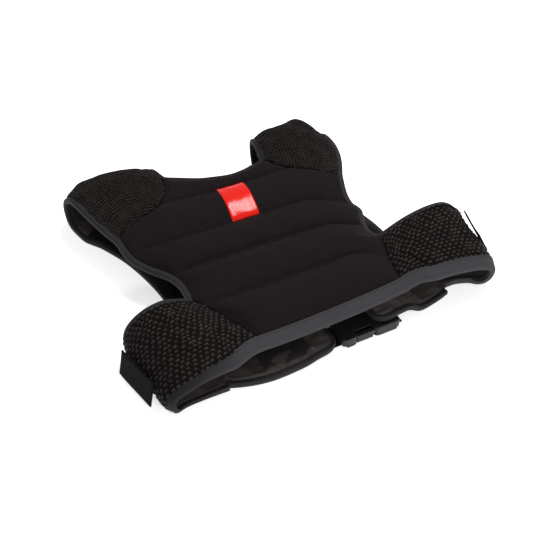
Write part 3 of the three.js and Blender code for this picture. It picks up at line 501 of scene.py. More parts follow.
def make_wing(side):
    hand = HAND[side]

    def at(name, v):
        return column(WING_ROWS, "along", name, v)

    def back(v):
        return mix(SEAMS["hem"], FLANK_CORNER, v)

    def roll(v):
        return {
            "start_r": HALF_WIDTH * column(PANEL_EDGES, "along", side, back(v)) - SEAM_OVERLAP,
            "start_z": PANEL_HEIGHT * column(PANEL_EDGES, "along", "side", back(v)),
            "peak_r": HALF_WIDTH * at(f"peak_{side}", v) * WING_REACH[side],
            "peak_z": PANEL_HEIGHT * at("peak_z", v) * WING_PEAK[side],
            "side_r": HALF_WIDTH * at(f"side_{side}", v) * WING_REACH[side],
            "floor_r": HALF_WIDTH * at("floor_x", v) * WING_REACH[side],
            "end_r": front_edge("outer", side, at(f"under_{side}", v)) + GAP,
            "swell": WING_SWELL[side],
        }

    def mid(u, v):
        r, z = roll_point(u, roll(v))
        over = mix(back(v), at(f"turn_{side}", v), ease_between(u, WING_TURN_OVER))
        y = LENGTH * mix(over, at(f"under_{side}", v), ease_between(u, WING_TURN_UNDER[side]))
        return vectors(hand * r, y, z)

    def normal(u, v):
        out, up = roll_normal(u, roll(v))
        return vectors(hand * out, 0.0, up)

    return Sheet(mid, normal, even_sheet)


def make_yoke(side):
    hand = HAND[side]
    lean = np.array([hand * math.sin(SHOULDER_LEAN), math.cos(SHOULDER_LEAN), 0.0])

    def join(v):
        along = mix(SEAMS["neck"], YOKE_CORNER, v)
        x, y = panel_place(0.0 if hand < 0 else 1.0, along)
        return x, y, PANEL_HEIGHT * column(PANEL_EDGES, "along", "side", along)

    def roll(v):
        _, y, z = join(v)
        nose = (LENGTH * column(YOKE_ROWS, "across", f"crest_{side}", v) - y) / math.cos(SHOULDER_LEAN)
        start = -SEAM_OVERLAP
        return {
            "start_r": start,
            "start_z": z,
            "peak_r": mix(start, nose, column(YOKE_ROWS, "across", "peak", v)),
            "peak_z": PANEL_HEIGHT * column(YOKE_ROWS, "across", "peak_z", v),
            "side_r": nose,
            "floor_r": nose - SHOULDER_FLOOR,
            "end_r": nose - SHOULDER_FLOOR - SHOULDER_TUCK,
            "swell": 1,
        }

    def mid(u, v):
        section = roll(v)
        r, z = roll_point(u, section)
        x, y, _ = join(v)
        flare = SHOULDER_FLARE[side] * v ** 2 * np.sin(math.pi * r / section["side_r"] / FLARE_REACH)
        return vectors(x + hand * flare + lean[0] * r, y + lean[1] * r, z)

    def normal(u, v):
        out, up = roll_normal(u, roll(v))
        return vectors(lean[0] * out, lean[1] * out, up)

    return Sheet(mid, normal, even_sheet)


def make_front(side, shoulder):
    hand = HAND[side]
    last = FRONT_EDGES[-1]["along"]

    def mid(u, v):
        along = mix(FRONT_START, last, np.minimum(1, v / FRONT_TOP))
        x = mix(front_edge("inner", side, along), front_edge("outer", side, along), u)
        place = vectors(hand * x, along * LENGTH, SHEET / 2)
        top = shoulder.mid(np.ones_like(u), u) - np.array([0, GAP * 1.2, 0])
        return mix(place, top, clamp01((v - FRONT_TOP) / (1 - FRONT_TOP))[..., None])

    def half(u, v):
        puff = (1 - np.abs(2 * u - 1) ** 4) * np.sqrt(np.maximum(np.sin(math.pi * clamp01(v)), 0))
        return SHEET / 2 + FRONT_PUFF * puff, np.full(puff.shape, SHEET / 2)

    return Sheet(mid, flat_up, half)


def make_belt(side):
    hand = HAND[side]
    outer = float(front_edge("outer", side, FRONT_START / 2))
    tip = -LEFT_NOSE_X if side == "left" else RIGHT_NOSE_X
    span = outer - tip
    over_webbing = WEBBING_THICKNESS + GAP * 1.5
    over_buckle = BUCKLE_THICKNESS + GAP * 1.5
    webbing_end = WEBBING_OUTER[side] + RAMP_START
    buckle_end = BUCKLE_RIGHT_X + BUCKLE_RAMP_START

    def lift(out):
        webbing = over_webbing * ease_between(out, (webbing_end + WEBBING_RAMP, webbing_end))
        buckle = ease_between(out, (buckle_end + BUCKLE_RAMP, buckle_end)) if side == "right" else 0
        return mix(webbing, over_buckle, buckle)

    def mid(u, v):
        out = outer - span * u
        to_tip = span * (1 - u) + NOSE_BLUNT
        blunt = np.minimum(1, to_tip / NOSE_RADIUS)
        trim = NOSE_RADIUS * (1 - np.sqrt(1 - (1 - blunt) ** 2))
        rise = BELT_RISE[side] * clamp01((out - outer + BELT_RISE_SPAN) / BELT_RISE_SPAN) ** 2
        sag = BELT_SAG[side] * np.sin(math.pi * clamp01(u))
        near = BELT_NEAR_Y + trim + rise - sag
        far = BELT_NEAR_Y + BELT_WIDTH - trim
        return vectors(hand * out, mix(near, far, v), SHEET / 2 + lift(out))

    def half(u, v):
        puff = (1 - np.abs(2 * v - 1) ** 3) * (1 - np.abs(2 * u - 1) ** 8)
        return SHEET / 2 + BELT_PUFF * puff, np.full(puff.shape, SHEET / 2)

    return Sheet(mid, flat_up, half)


panel = make_panel()
wings = {side: make_wing(side) for side in SIDES}
yokes = {side: make_yoke(side) for side in SIDES}
fronts = {side: make_front(side, yokes[side]) for side in SIDES}
belts = {side: make_belt(side) for side in SIDES}


def slanted(points):
    """Moves points of the even layout to where the cloth lies, still in millimetres."""
    fade = 1 - ease_between(points[..., 1] / LENGTH, SLANT_FADE)
    moved = np.array(points, float)
    moved[..., 1] += HEM_SLANT * fade * points[..., 0]
    return moved


# The layout's place in the shared frame, read from the back panel's own box.
hem_corner = slanted(panel.mid(np.array([0.0]), np.array([SEAMS["hem"]])))[0]
yoke_corner = panel.mid(np.array([0.0]), np.array([YOKE_CORNER]))[0]
panel_low = np.array(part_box("back_panel")[0])
LAYOUT_SHIFT = np.array([panel_low[0] - yoke_corner[0] * MM, panel_low[1] - hem_corner[1] * MM, 0.0])


def laid(points):
    """Points of the even layout as places in the shared frame, in metres."""
    return slanted(points) * MM + LAYOUT_SHIFT


# Grids of points

def arc(points, axis):
    """Length run so far along one axis of a grid of points."""
    steps = np.linalg.norm(np.diff(points, axis=axis), axis=-1)
    start = np.zeros_like(np.take(steps, [0], axis=axis))
    return np.concatenate([start, np.cumsum(steps, axis=axis)], axis=axis)


def resample(grid, rows_at, cols_at):
    """Reads a grid at fractional rows and columns, by smooth curves through its points."""
    def along(values, at):
        count = values.shape[0]
        k = np.clip(np.floor(at).astype(int), 0, count - 2)
        t = (at - k)[(...,) + (None,) * (values.ndim - 1)]
        p0, p1 = values[np.maximum(k - 1, 0)], values[k]
        p2, p3 = values[k + 1], values[np.minimum(k + 2, count - 1)]
        return 0.5 * (2 * p1 + (p2 - p0) * t + (2 * p0 - 5 * p1 + 4 * p2 - p3) * t ** 2
                      + (3 * p1 - p0 - 3 * p2 + p3) * t ** 3)
    turned = np.swapaxes(along(grid, rows_at), 0, 1)
    return np.swapaxes(along(turned, cols_at), 0, 1)


def grid_normals(grid):
    """The upper direction at each point of a grid whose columns run along u and rows along v."""
    across = np.gradient(grid, axis=1)
    along = np.gradient(grid, axis=0)
    return unit(np.cross(across, along))


def edge_fall(distance, depth, reach):
    """How far a skin is drawn in beside a seam or a bound edge."""
    return depth * (1 - np.sqrt(clamp01(distance / reach) * (2 - clamp01(distance / reach))))


# Meshes

def new_piece(name, verts, faces, uvs=None, smooth=True):
    mesh = bpy.data.meshes.new(name)
    mesh.from_pydata([tuple(p) for p in np.asarray(verts).reshape(-1, 3)], [], faces)
    if uvs is not None:
        layer = mesh.uv_layers.new(name="weave")
        corners = np.zeros(len(mesh.loops), int)
        mesh.loops.foreach_get("vertex_index", corners)
        layer.data.foreach_set("uv", np.asarray(uvs, np.float32).reshape(-1, 2)[corners].ravel())
    mesh.polygons.foreach_set("use_smooth", [smooth] * len(mesh.polygons))
    mesh.update()
    piece = bpy.data.objects.new(name, mesh)
    bpy.context.scene.collection.objects.link(piece)
    return piece


def skin_faces(rows, cols, turn):
    """Faces of a closed body made of an upper and a lower grid, with a wall between them."""
    def top(i, j):
        return i * cols + j

    def low(i, j):
        return rows * cols + i * cols + j

    faces = []
    for i in range(rows - 1):
        for j in range(cols - 1):
            faces.append((top(i, j), top(i, j + 1), top(i + 1, j + 1), top(i + 1, j)))
            faces.append((low(i, j), low(i + 1, j), low(i + 1, j + 1), low(i, j + 1)))
    rim = [(0, j) for j in range(cols)] + [(i, cols - 1) for i in range(1, rows)]
    rim += [(rows - 1, j) for j in range(cols - 2, -1, -1)] + [(i, 0) for i in range(rows - 2, 0, -1)]
    for a, b in zip(rim, rim[1:] + rim[:1]):
        faces.append((top(*b), top(*a), low(*a), low(*b)))
    return [face[::-1] for face in faces] if turn else faces


def closed_body(name, top, low, weave):
    """A closed mesh between two grids; weave holds the cloth's own coordinates in metres."""
    rows, cols = top.shape[:2]
    middle = grid_normals(top)[rows // 2, cols // 2]
    turn = np.dot(middle, (top - low)[rows // 2, cols // 2]) < 0
    verts = np.concatenate([top.reshape(-1, 3), low.reshape(-1, 3)])
    uvs = np.concatenate([weave.reshape(-1, 2), weave.reshape(-1, 2)])
    return new_piece(name, verts, skin_faces(rows, cols, turn), uvs)


def keep(piece, material, slot, *nodes):
    """Gives a finished piece its material, puts it under the root body and hides the CAD nodes that it
    takes the place of.
    """
    if material:
        piece.data.materials.clear()
        piece.data.materials.append(material)
    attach(piece, "root")
    if nodes:
        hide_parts(*nodes)
    return piece


# Materials

# The cloths: the colours between and on their threads (darker between them, which is painted shade in the
# gaps, and uneven, which is random tone), the spacing of the threads both ways and their relief in
# millimetres, and their finish.
CLOTHS = {
    "neoprene_jersey": {
        "dark": (0.0056, 0.0034, 0.0038), "light": (0.0096, 0.0062, 0.0066),
        "pitch": (0.9, 0.7), "relief": 0.06, "specular": 0.05, "roughness": 0.7, "sheen": 0.03,
    },
    "belt_lining": {
        "dark": (0.016, 0.0128, 0.0124), "light": (0.05, 0.0405, 0.039),
        "pitch": (0.8, 0.8), "relief": 0.08, "specular": 0.14, "roughness": 0.5, "sheen": 0.06,
    },
    "mesh_ground": {
        "dark": (0.0028, 0.0024, 0.0022), "light": (0.006, 0.005, 0.0046),
        "pitch": (1.4, 1.1), "relief": 0.12, "specular": 0.04, "roughness": 0.85, "sheen": 0.02,
    },
    "mesh_strand": {
        "dark": (0.007, 0.0045, 0.0042), "light": (0.034, 0.0232, 0.0215),
        "pitch": (0.6, 0.6), "relief": 0.08, "specular": 0.2, "roughness": 0.42, "sheen": 0.06,
    },
    "net_strand": {
        "dark": (0.009, 0.0062, 0.0058), "light": (0.022, 0.0155, 0.0146),
        "pitch": (0.6, 0.6), "relief": 0.08, "specular": 0.12, "roughness": 0.5, "sheen": 0.05,
    },
    "edge_binding": {
        "dark": (0.011, 0.0105, 0.0115), "light": (0.019, 0.018, 0.0195),
        "pitch": (0.8, 1.1), "relief": 0.12, "specular": 0.12, "roughness": 0.62, "sheen": 0.05,
    },
    "neck_binding_cloth": {
        "dark": (0.007, 0.0066, 0.0072), "light": (0.012, 0.0112, 0.0122),
        "pitch": (0.8, 1.1), "relief": 0.12, "specular": 0.08, "roughness": 0.62, "sheen": 0.03,
    },
    "belt_binding_cloth": {
        "dark": (0.008, 0.0076, 0.0082), "light": (0.02, 0.019, 0.0202),
        "pitch": (0.8, 1.1), "relief": 0.12, "specular": 0.14, "roughness": 0.5, "sheen": 0.05,
    },
    "ribbed_tape": {
        "dark": (0.028, 0.027, 0.030), "light": (0.046, 0.044, 0.049),
        "pitch": (0.9, 1.3), "relief": 0.16, "specular": 0.12, "roughness": 0.62, "sheen": 0.05,
    },
    "woven_webbing": {
        "dark": (0.0036, 0.0034, 0.0036), "light": (0.0078, 0.0072, 0.0076),
        "pitch": (1.3, 1.9), "relief": 0.2, "specular": 0.03, "roughness": 0.7, "sheen": 0.02,
    },
    "hook_tape": {
        "dark": (0.01, 0.009, 0.009), "light": (0.02, 0.018, 0.0175),
        "pitch": (1.2, 1.2), "relief": 0.2, "specular": 0.05, "roughness": 0.8, "sheen": 0.03,
    },
    "sewing_thread": {
        "dark": (0.009, 0.009, 0.01), "light": (0.02, 0.02, 0.021),
        "pitch": (0.5, 0.5), "relief": 0.05, "specular": 0.15, "roughness": 0.5, "sheen": 0.05,
    },
}
WEFT_HEIGHT = 0.85
FUZZ_HEIGHT = 0.7

# The tape and the left wing's strands get painted shade towards the left, on the side of the left roll
# that faces away from the key light: the strands between these shares of HALF_WIDTH and the tape where it
# narrows.
WING_PAINTED_SHADE_SPAN = (0.84, 1.0)
TAPE_PAINTED_SHADE = (0.0115, 0.011, 0.012)
STRAND_PAINTED_SHADE = (0.009, 0.0058, 0.0054)

# The two moulded finishes, with the relief of their grain in millimetres.
MOULDED = {
    "moulded_plastic": {
        "dark": (0.008, 0.008, 0.009), "light": (0.013, 0.013, 0.014), "grain": 900, "grain_detail": 3,
        "patches": 60, "bump": 0.35, "relief": 0.12, "roughness": 0.12, "spread": 0.15, "specular": 0.3,
    },
    "glossy_label": {
        "dark": (0.66, 0.006, 0.002), "light": (0.78, 0.01, 0.004), "grain": 700, "grain_detail": 2,
        "patches": 90, "bump": 0.1, "relief": 0.05, "roughness": 0.16, "spread": 0.06, "specular": 0.3,
    },
}


def new_material(name):
    material = bpy.data.materials.new(name)
    material.use_nodes = True
    nodes = material.node_tree.nodes
    shader = nodes["Principled BSDF"]
    return material, material.node_tree, shader


def math_node(tree, operation, a, b=None, c=None):
    node = tree.nodes.new("ShaderNodeMath")
    node.operation = operation
    for socket, value in zip(node.inputs, (a, b, c)):
        if value is None:
            continue
        if isinstance(value, (int, float)):
            socket.default_value = value
        else:
            tree.links.new(value, socket)
    return node.outputs[0]


def weave_coordinates(tree):
    """The cloth's own coordinates, which run along its threads in metres."""
    node = tree.nodes.new("ShaderNodeUVMap")
    node.uv_map = "weave"
    split = tree.nodes.new("ShaderNodeSeparateXYZ")
    tree.links.new(node.outputs[0], split.inputs[0])
    return split.outputs[0], split.outputs[1]


def noise(tree, vector, scale, detail=3.0, roughness=0.55):
    node = tree.nodes.new("ShaderNodeTexNoise")
    node.inputs["Scale"].default_value = scale
    node.inputs["Detail"].default_value = detail
    node.inputs["Roughness"].default_value = roughness
    tree.links.new(vector, node.inputs["Vector"])
    return node.outputs["Fac"]


def two_colours(tree, share, dark, light):
    node = tree.nodes.new("ShaderNodeMix")
    node.data_type = "RGBA"
    node.inputs[6].default_value = (*dark, 1)
    node.inputs[7].default_value = (*light, 1)
    tree.links.new(share, node.inputs[0])
    return node.outputs[2]


def bump(tree, height, strength, distance):
    node = tree.nodes.new("ShaderNodeBump")
    node.inputs["Strength"].default_value = strength
    node.inputs["Distance"].default_value = distance
    tree.links.new(height, node.inputs["Height"])
    return node.outputs[0]


def sine_rows(tree, along, pitch):
    """Rows of height 0 to 1 across a coordinate in metres."""
    turned = math_node(tree, "MULTIPLY", along, 2 * math.pi / pitch)
    wave = math_node(tree, "SINE", turned)
    return math_node(tree, "MULTIPLY_ADD", wave, 0.5, 0.5)


def object_place(tree):
    return tree.nodes.new("ShaderNodeTexCoord").outputs["Object"]


def uneven_roughness(tree, shader, uneven, least, spread):
    """Roughness from least to least and spread, as the surface's unevenness goes."""
    tree.links.new(math_node(tree, "MULTIPLY_ADD", uneven, spread, least), shader.inputs["Roughness"])


def cloth_material(name):
    """Woven or knitted cloth: rows of threads both ways, uneven colour with painted shade between the
    threads, and a soft sheen.
    """
    cloth = CLOTHS[name]
    material, tree, shader = new_material(name)
    rows_u, rows_v = (
        sine_rows(tree, along, pitch * MM) for along, pitch in zip(weave_coordinates(tree), cloth["pitch"])
    )
    threads = math_node(tree, "MAXIMUM", rows_u, math_node(tree, "MULTIPLY", rows_v, WEFT_HEIGHT))
    place = object_place(tree)
    uneven = noise(tree, place, 34, 4)
    fuzz = noise(tree, place, 1500, 2)
    height = math_node(tree, "ADD", threads, math_node(tree, "MULTIPLY", fuzz, FUZZ_HEIGHT))
    # Painted shade: the colour darkens between the threads, on top of the random tone.
    tone_and_gap_shade = math_node(tree, "ADD", uneven, math_node(tree, "MULTIPLY", threads, 0.5))
    share = math_node(tree, "MULTIPLY", tone_and_gap_shade, 0.8)
    colour = two_colours(tree, share, cloth["dark"], cloth["light"])
    tree.links.new(colour, shader.inputs["Base Color"])
    tree.links.new(bump(tree, height, 0.6, cloth["relief"] * MM), shader.inputs["Normal"])
    uneven_roughness(tree, shader, uneven, cloth["roughness"], 0.12)
    shader.inputs["Specular IOR Level"].default_value = cloth["specular"]
    shader.inputs["Sheen Weight"].default_value = cloth["sheen"]
    shader.inputs["Sheen Roughness"].default_value = 0.45
    shader.inputs["Sheen Tint"].default_value = (0.8, 0.76, 0.74, 1)
    return material


def moulded_material(name):
    """Smooth plastic: a fine grain, and slightly uneven colour and gloss."""
    finish = MOULDED[name]
    material, tree, shader = new_material(name)
    place = object_place(tree)
    grain = noise(tree, place, finish["grain"], finish["grain_detail"])
    uneven = noise(tree, place, finish["patches"], 3)
    colour = two_colours(tree, uneven, finish["dark"], finish["light"])
    tree.links.new(colour, shader.inputs["Base Color"])
    tree.links.new(bump(tree, grain, finish["bump"], finish["relief"] * MM), shader.inputs["Normal"])
    uneven_roughness(tree, shader, uneven, finish["roughness"], finish["spread"])
    shader.inputs["Specular IOR Level"].default_value = finish["specular"]
    return material


def paint_shade_towards(material, shares, dark):
    """Paints shade into a cloth's colour towards the left side of the vest, between two shares of
    HALF_WIDTH.
    """
    tree = material.node_tree
    shader = tree.nodes["Principled BSDF"]
    # Painted shade: the colour is blended towards a darker one on the left roll.
    full = shader.inputs["Base Color"].links[0].from_socket
    split = tree.nodes.new("ShaderNodeSeparateXYZ")
    tree.links.new(object_place(tree), split.inputs[0])
    fade = tree.nodes.new("ShaderNodeMapRange")
    fade.inputs["From Min"].default_value = LAYOUT_SHIFT[0] - shares[0] * HALF_WIDTH * MM
    fade.inputs["From Max"].default_value = LAYOUT_SHIFT[0] - shares[1] * HALF_WIDTH * MM
    tree.links.new(split.outputs[0], fade.inputs["Value"])
    shaded_colour = tree.nodes.new("ShaderNodeMix")
    shaded_colour.data_type = "RGBA"
    shaded_colour.inputs[7].default_value = (*dark, 1)
    tree.links.new(fade.outputs[0], shaded_colour.inputs[0])
    tree.links.new(full, shaded_colour.inputs[6])
    tree.links.new(shaded_colour.outputs[2], shader.inputs["Base Color"])


neoprene = cloth_material("neoprene_jersey")
lining_cloth = cloth_material("belt_lining")
mesh_ground = cloth_material("mesh_ground")
mesh_strand = cloth_material("mesh_strand")
net_strand = cloth_material("net_strand")
binding_cloth = cloth_material("edge_binding")
dark_binding = cloth_material("neck_binding_cloth")
belt_edge_cloth = cloth_material("belt_binding_cloth")
tape_cloth = cloth_material("ribbed_tape")
webbing_cloth = cloth_material("woven_webbing")
hook_cloth = cloth_material("hook_tape")
thread = cloth_material("sewing_thread")
plastic = moulded_material("moulded_plastic")
label_gloss = moulded_material("glossy_label")
# Painted shade: the hem tape and the left wing's strands are darkened on the left roll, which faces away
# from the key light.
paint_shade_towards(tape_cloth, HEM_TAPE_NARROWS, TAPE_PAINTED_SHADE)
paint_shade_towards(mesh_strand, WING_PAINTED_SHADE_SPAN, STRAND_PAINTED_SHADE)


# Elements laid along seams and over surfaces, by Geometry Nodes

def add_ellipsoid(tree, segments, rings, place, size, turn):
    ball = tree.nodes.new("GeometryNodeMeshUVSphere")
    ball.inputs["Segments"].default_value = segments
    ball.inputs["Rings"].default_value = rings
    ball.inputs["Radius"].default_value = 0.5
    shape = tree.nodes.new("GeometryNodeTransform")
    shape.inputs["Translation"].default_value = place
    shape.inputs["Rotation"].default_value = (0, math.pi / 2, 0)
    tree.links.new(ball.outputs["Mesh"], shape.inputs["Geometry"])
    placed = tree.nodes.new("GeometryNodeTransform")
    placed.inputs["Scale"].default_value = size
    tree.links.new(shape.outputs[0], placed.inputs["Geometry"])
    turned = tree.nodes.new("GeometryNodeTransform")
    turned.inputs["Rotation"].default_value = (0, 0, turn)
    tree.links.new(placed.outputs[0], turned.inputs["Geometry"])
    return turned.outputs[0]


def laying_tree(name, bodies, material):
    """A tree that sets one element on every point, turned to the point's own directions.

    bodies are the element's ellipsoids, in an element that is one unit long, wide and high."""
    tree = bpy.data.node_groups.new(name, "GeometryNodeTree")
    sockets = tree.interface
    sockets.new_socket("Geometry", in_out="INPUT", socket_type="NodeSocketGeometry")
    sockets.new_socket("Geometry", in_out="OUTPUT", socket_type="NodeSocketGeometry")
    for label in ("Length", "Width", "Height", "Unevenness"):
        sockets.new_socket(label, in_out="INPUT", socket_type="NodeSocketFloat")
    sockets.new_socket("Seed", in_out="INPUT", socket_type="NodeSocketInt")
    given = tree.nodes.new("NodeGroupInput")
    result = tree.nodes.new("NodeGroupOutput")

    element = tree.nodes.new("GeometryNodeJoinGeometry")
    for body in bodies:
        tree.links.new(add_ellipsoid(tree, **body), element.inputs[0])

    rotation = None
    for attribute, axis, pivot in (("along", "X", "AUTO"), ("up", "Z", "X")):
        read = tree.nodes.new("GeometryNodeInputNamedAttribute")
        read.data_type = "FLOAT_VECTOR"
        read.inputs["Name"].default_value = attribute
        align = tree.nodes.new("FunctionNodeAlignRotationToVector")
        align.axis = axis
        align.pivot_axis = pivot
        tree.links.new(read.outputs[0], align.inputs["Vector"])
        if rotation:
            tree.links.new(rotation, align.inputs["Rotation"])
        rotation = align.outputs[0]

    size = tree.nodes.new("ShaderNodeCombineXYZ")
    for k, label in enumerate(("Length", "Width", "Height")):
        tree.links.new(given.outputs[label], size.inputs[k])
    spread = tree.nodes.new("FunctionNodeRandomValue")
    spread.data_type = "FLOAT"
    low = math_node(tree, "SUBTRACT", 1.0, given.outputs["Unevenness"])
    high = math_node(tree, "ADD", 1.0, given.outputs["Unevenness"])
    tree.links.new(low, spread.inputs[2])
    tree.links.new(high, spread.inputs[3])
    tree.links.new(given.outputs["Seed"], spread.inputs["Seed"])
    scaled = tree.nodes.new("ShaderNodeVectorMath")
    scaled.operation = "SCALE"
    tree.links.new(size.outputs[0], scaled.inputs[0])
    tree.links.new(spread.outputs[1], scaled.inputs["Scale"])

    lay = tree.nodes.new("GeometryNodeInstanceOnPoints")
    tree.links.new(given.outputs["Geometry"], lay.inputs["Points"])
    tree.links.new(element.outputs[0], lay.inputs["Instance"])
    tree.links.new(rotation, lay.inputs["Rotation"])
    tree.links.new(scaled.outputs[0], lay.inputs["Scale"])
    real = tree.nodes.new("GeometryNodeRealizeInstances")
    tree.links.new(lay.outputs[0], real.inputs[0])
    smooth = tree.nodes.new("GeometryNodeSetShadeSmooth")
    tree.links.new(real.outputs[0], smooth.inputs[0])
    finish = tree.nodes.new("GeometryNodeSetMaterial")
    finish.inputs["Material"].default_value = material
    tree.links.new(smooth.outputs[0], finish.inputs["Geometry"])
    tree.links.new(finish.outputs[0], result.inputs["Geometry"])
    return tree


def lay_elements(name, tree, points, along, up, sizes, seed, unevenness):
    """Sets the tree's element on points in metres and returns the result as a plain mesh."""
    source = bpy.data.meshes.new(name)
    source.from_pydata([tuple(p) for p in points], [], [])
    for label, values in (("along", along), ("up", up)):
        attribute = source.attributes.new(label, "FLOAT_VECTOR", "POINT")
        attribute.data.foreach_set("vector", np.asarray(values, np.float32).ravel())
    piece = bpy.data.objects.new(name, source)
    bpy.context.scene.collection.objects.link(piece)
    modifier = piece.modifiers.new("laying", "NODES")
    modifier.node_group = tree
    values = dict(zip(("Length", "Width", "Height"), sizes), Unevenness=unevenness, Seed=seed)
    for item in tree.interface.items_tree:
        if item.in_out == "INPUT" and item.name in values:
            modifier[item.identifier] = values[item.name]
    graph = bpy.context.evaluated_depsgraph_get()
    made = bpy.data.meshes.new_from_object(piece.evaluated_get(graph), depsgraph=graph)
    piece.modifiers.clear()
    piece.data = made
    made.name = name
    bpy.data.meshes.remove(source)
    if not made.uv_layers:
        made.uv_layers.new(name="weave")
    made.uv_layers[0].name = "weave"
    return piece


# One stitch, one knot of the wings' open mesh with the two strands that run on to the next row of
# knots, and one crossing of the yokes' finer net.
NEXT_RIGHT = math.atan2(1, 0.5)
NEXT_LEFT = math.pi - NEXT_RIGHT
KNOT_TURN = math.radians(24)
ALONG = math.radians(90)
STITCH = [{"segments": 6, "rings": 4, "place": (0, 0, 0), "size": (1, 1, 1), "turn": 0}]
KNOT = [
    {"segments": 8, "rings": 5, "place": (0, 0, 0), "size": (0.6, 0.44, 1), "turn": KNOT_TURN},
    {"segments": 6, "rings": 4, "place": (0.56, 0, 0), "size": (0.6, 0.1, 0.18), "turn": NEXT_RIGHT},
    {"segments": 6, "rings": 4, "place": (0.56, 0, 0), "size": (0.6, 0.1, 0.18), "turn": NEXT_LEFT},
]
CROSSING = [
    {"segments": 6, "rings": 4, "place": (0, 0, 0), "size": (1.15, 0.28, 0.6), "turn": 0},
    {"segments": 6, "rings": 4, "place": (0, 0, 0), "size": (1.15, 0.34, 0.8), "turn": ALONG},
]
stitch_tree = laying_tree("stitches", STITCH, thread)
knot_tree = laying_tree("mesh_knots", KNOT, mesh_strand)
crossing_tree = laying_tree("net_crossings", CROSSING, net_strand)


def path_directions(points):
    return unit(np.gradient(points, axis=0))


def spaced(points, step):
    """Positions at even steps along a path, with the fractional index of each."""
    run = arc(points[:, None, :], 0)[:, 0]
    count = max(2, int(run[-1] / step))
    at = (np.arange(count) + 0.5) * run[-1] / count
    return np.interp(at, run, np.arange(len(points)))


def pick(values, at):
    k = np.clip(np.floor(at).astype(int), 0, len(values) - 2)
    t = (at - k)[:, None]
    return values[k] * (1 - t) + values[k + 1] * t


# Padded and mesh sheets

def surface(sheet, us, vs):
    """Upper and lower skin of a sheet over a grid of places, in layout millimetres."""
    u, v = np.meshgrid(us, vs)
    mid, normal = sheet.mid(u, v), sheet.normal(u, v)
    up, down = sheet.half(u, v)
    return mid + normal * up[..., None], mid - normal * down[..., None]


def make_skins(sheet, us, vs, falls):
    """The skins laid in the frame and drawn in at the edges; falls gives (depth, reach) at the
    start and end of u and of v."""
    top, low = (laid(part) for part in surface(sheet, us, vs))
    out = unit(top - low)
    run_u, run_v = arc(top, 1) / MM, arc(top, 0) / MM
    distances = (run_u, run_u[:, -1:] - run_u, run_v, run_v[-1:, :] - run_v)
    fall = 0
    for distance, (depth, reach) in zip(distances, falls):
        fall = np.maximum(fall, edge_fall(distance, depth, reach))
    return top - out * (fall * MM)[..., None], low + out * (fall * MM * 0.5)[..., None], out


def swell(top, low, sewn_rows, cap, growth, every):
    """Lets a filled piece swell as cloth between its sewn places, by a cloth simulation on a
    coarser copy of its skins. sewn_rows are the rows that are held besides the borders."""
    rows, cols = top.shape[:2]
    rows_at = np.array(sorted(set(range(0, rows, every)) | set(sewn_rows) | {rows - 1}))
    cols_at = np.unique(np.append(np.arange(0, cols, every), cols - 1))
    pick_at = np.ix_(rows_at, cols_at)
    skins = [top[pick_at], low[pick_at]]
    count = skins[0].shape[0] * skins[0].shape[1]
    held = np.zeros(skins[0].shape[:2], bool)
    held[[0, -1]] = True
    held[:, [0, -1]] = True
    held[np.isin(rows_at, list(sewn_rows))] = True
    middle = grid_normals(skins[0])[len(rows_at) // 2, len(cols_at) // 2]
    turn = np.dot(middle, (skins[0] - skins[1])[len(rows_at) // 2, len(cols_at) // 2]) < 0
    verts = np.concatenate([skin.reshape(-1, 3) for skin in skins])
    piece = new_piece("swelling", verts, skin_faces(len(rows_at), len(cols_at), turn))
    sewn = piece.vertex_groups.new(name="sewn")
    places = np.flatnonzero(held.ravel())
    sewn.add([int(k) for k in np.concatenate([places, places + count])], 1.0, "REPLACE")
    cloth = piece.modifiers.new("swell", "CLOTH")
    settings = cloth.settings
    settings.quality = 4
    settings.effector_weights.gravity = 0
    settings.use_pressure = True
    settings.uniform_pressure_force = CLOTH_PRESSURE
    settings.shrink_min = -growth
    settings.vertex_group_mass = "sewn"
    cloth.point_cache.frame_start = 1
    cloth.point_cache.frame_end = CLOTH_FRAMES
    scene = bpy.context.scene
    for frame_number in range(1, CLOTH_FRAMES + 1):
        scene.frame_set(frame_number)
    graph = bpy.context.evaluated_depsgraph_get()
    moved = np.empty(len(verts) * 3)
    piece.evaluated_get(graph).data.vertices.foreach_get("co", moved)
    step = moved.reshape(-1, 3) - verts
    size = np.linalg.norm(step, axis=-1, keepdims=True)
    step = step * np.minimum(1, cap * MM / np.maximum(size, 1e-9))
    bpy.data.objects.remove(piece)
    scene.frame_set(1)
    fine_rows = np.interp(np.arange(rows), rows_at, np.arange(len(rows_at)))
    fine_cols = np.interp(np.arange(cols), cols_at, np.arange(len(cols_at)))
    parts = step.reshape((2,) + skins[0].shape)
    return tuple(skin + resample(part, fine_rows, fine_cols) for skin, part in zip((top, low), parts))


panel_rows = np.unique(np.concatenate([
    np.linspace(a, b, max(6, int((b - a) * LENGTH / PANEL_ROW_STEP)))
    for a, b in zip(list(SEAMS.values())[:-1], list(SEAMS.values())[1:])
]))


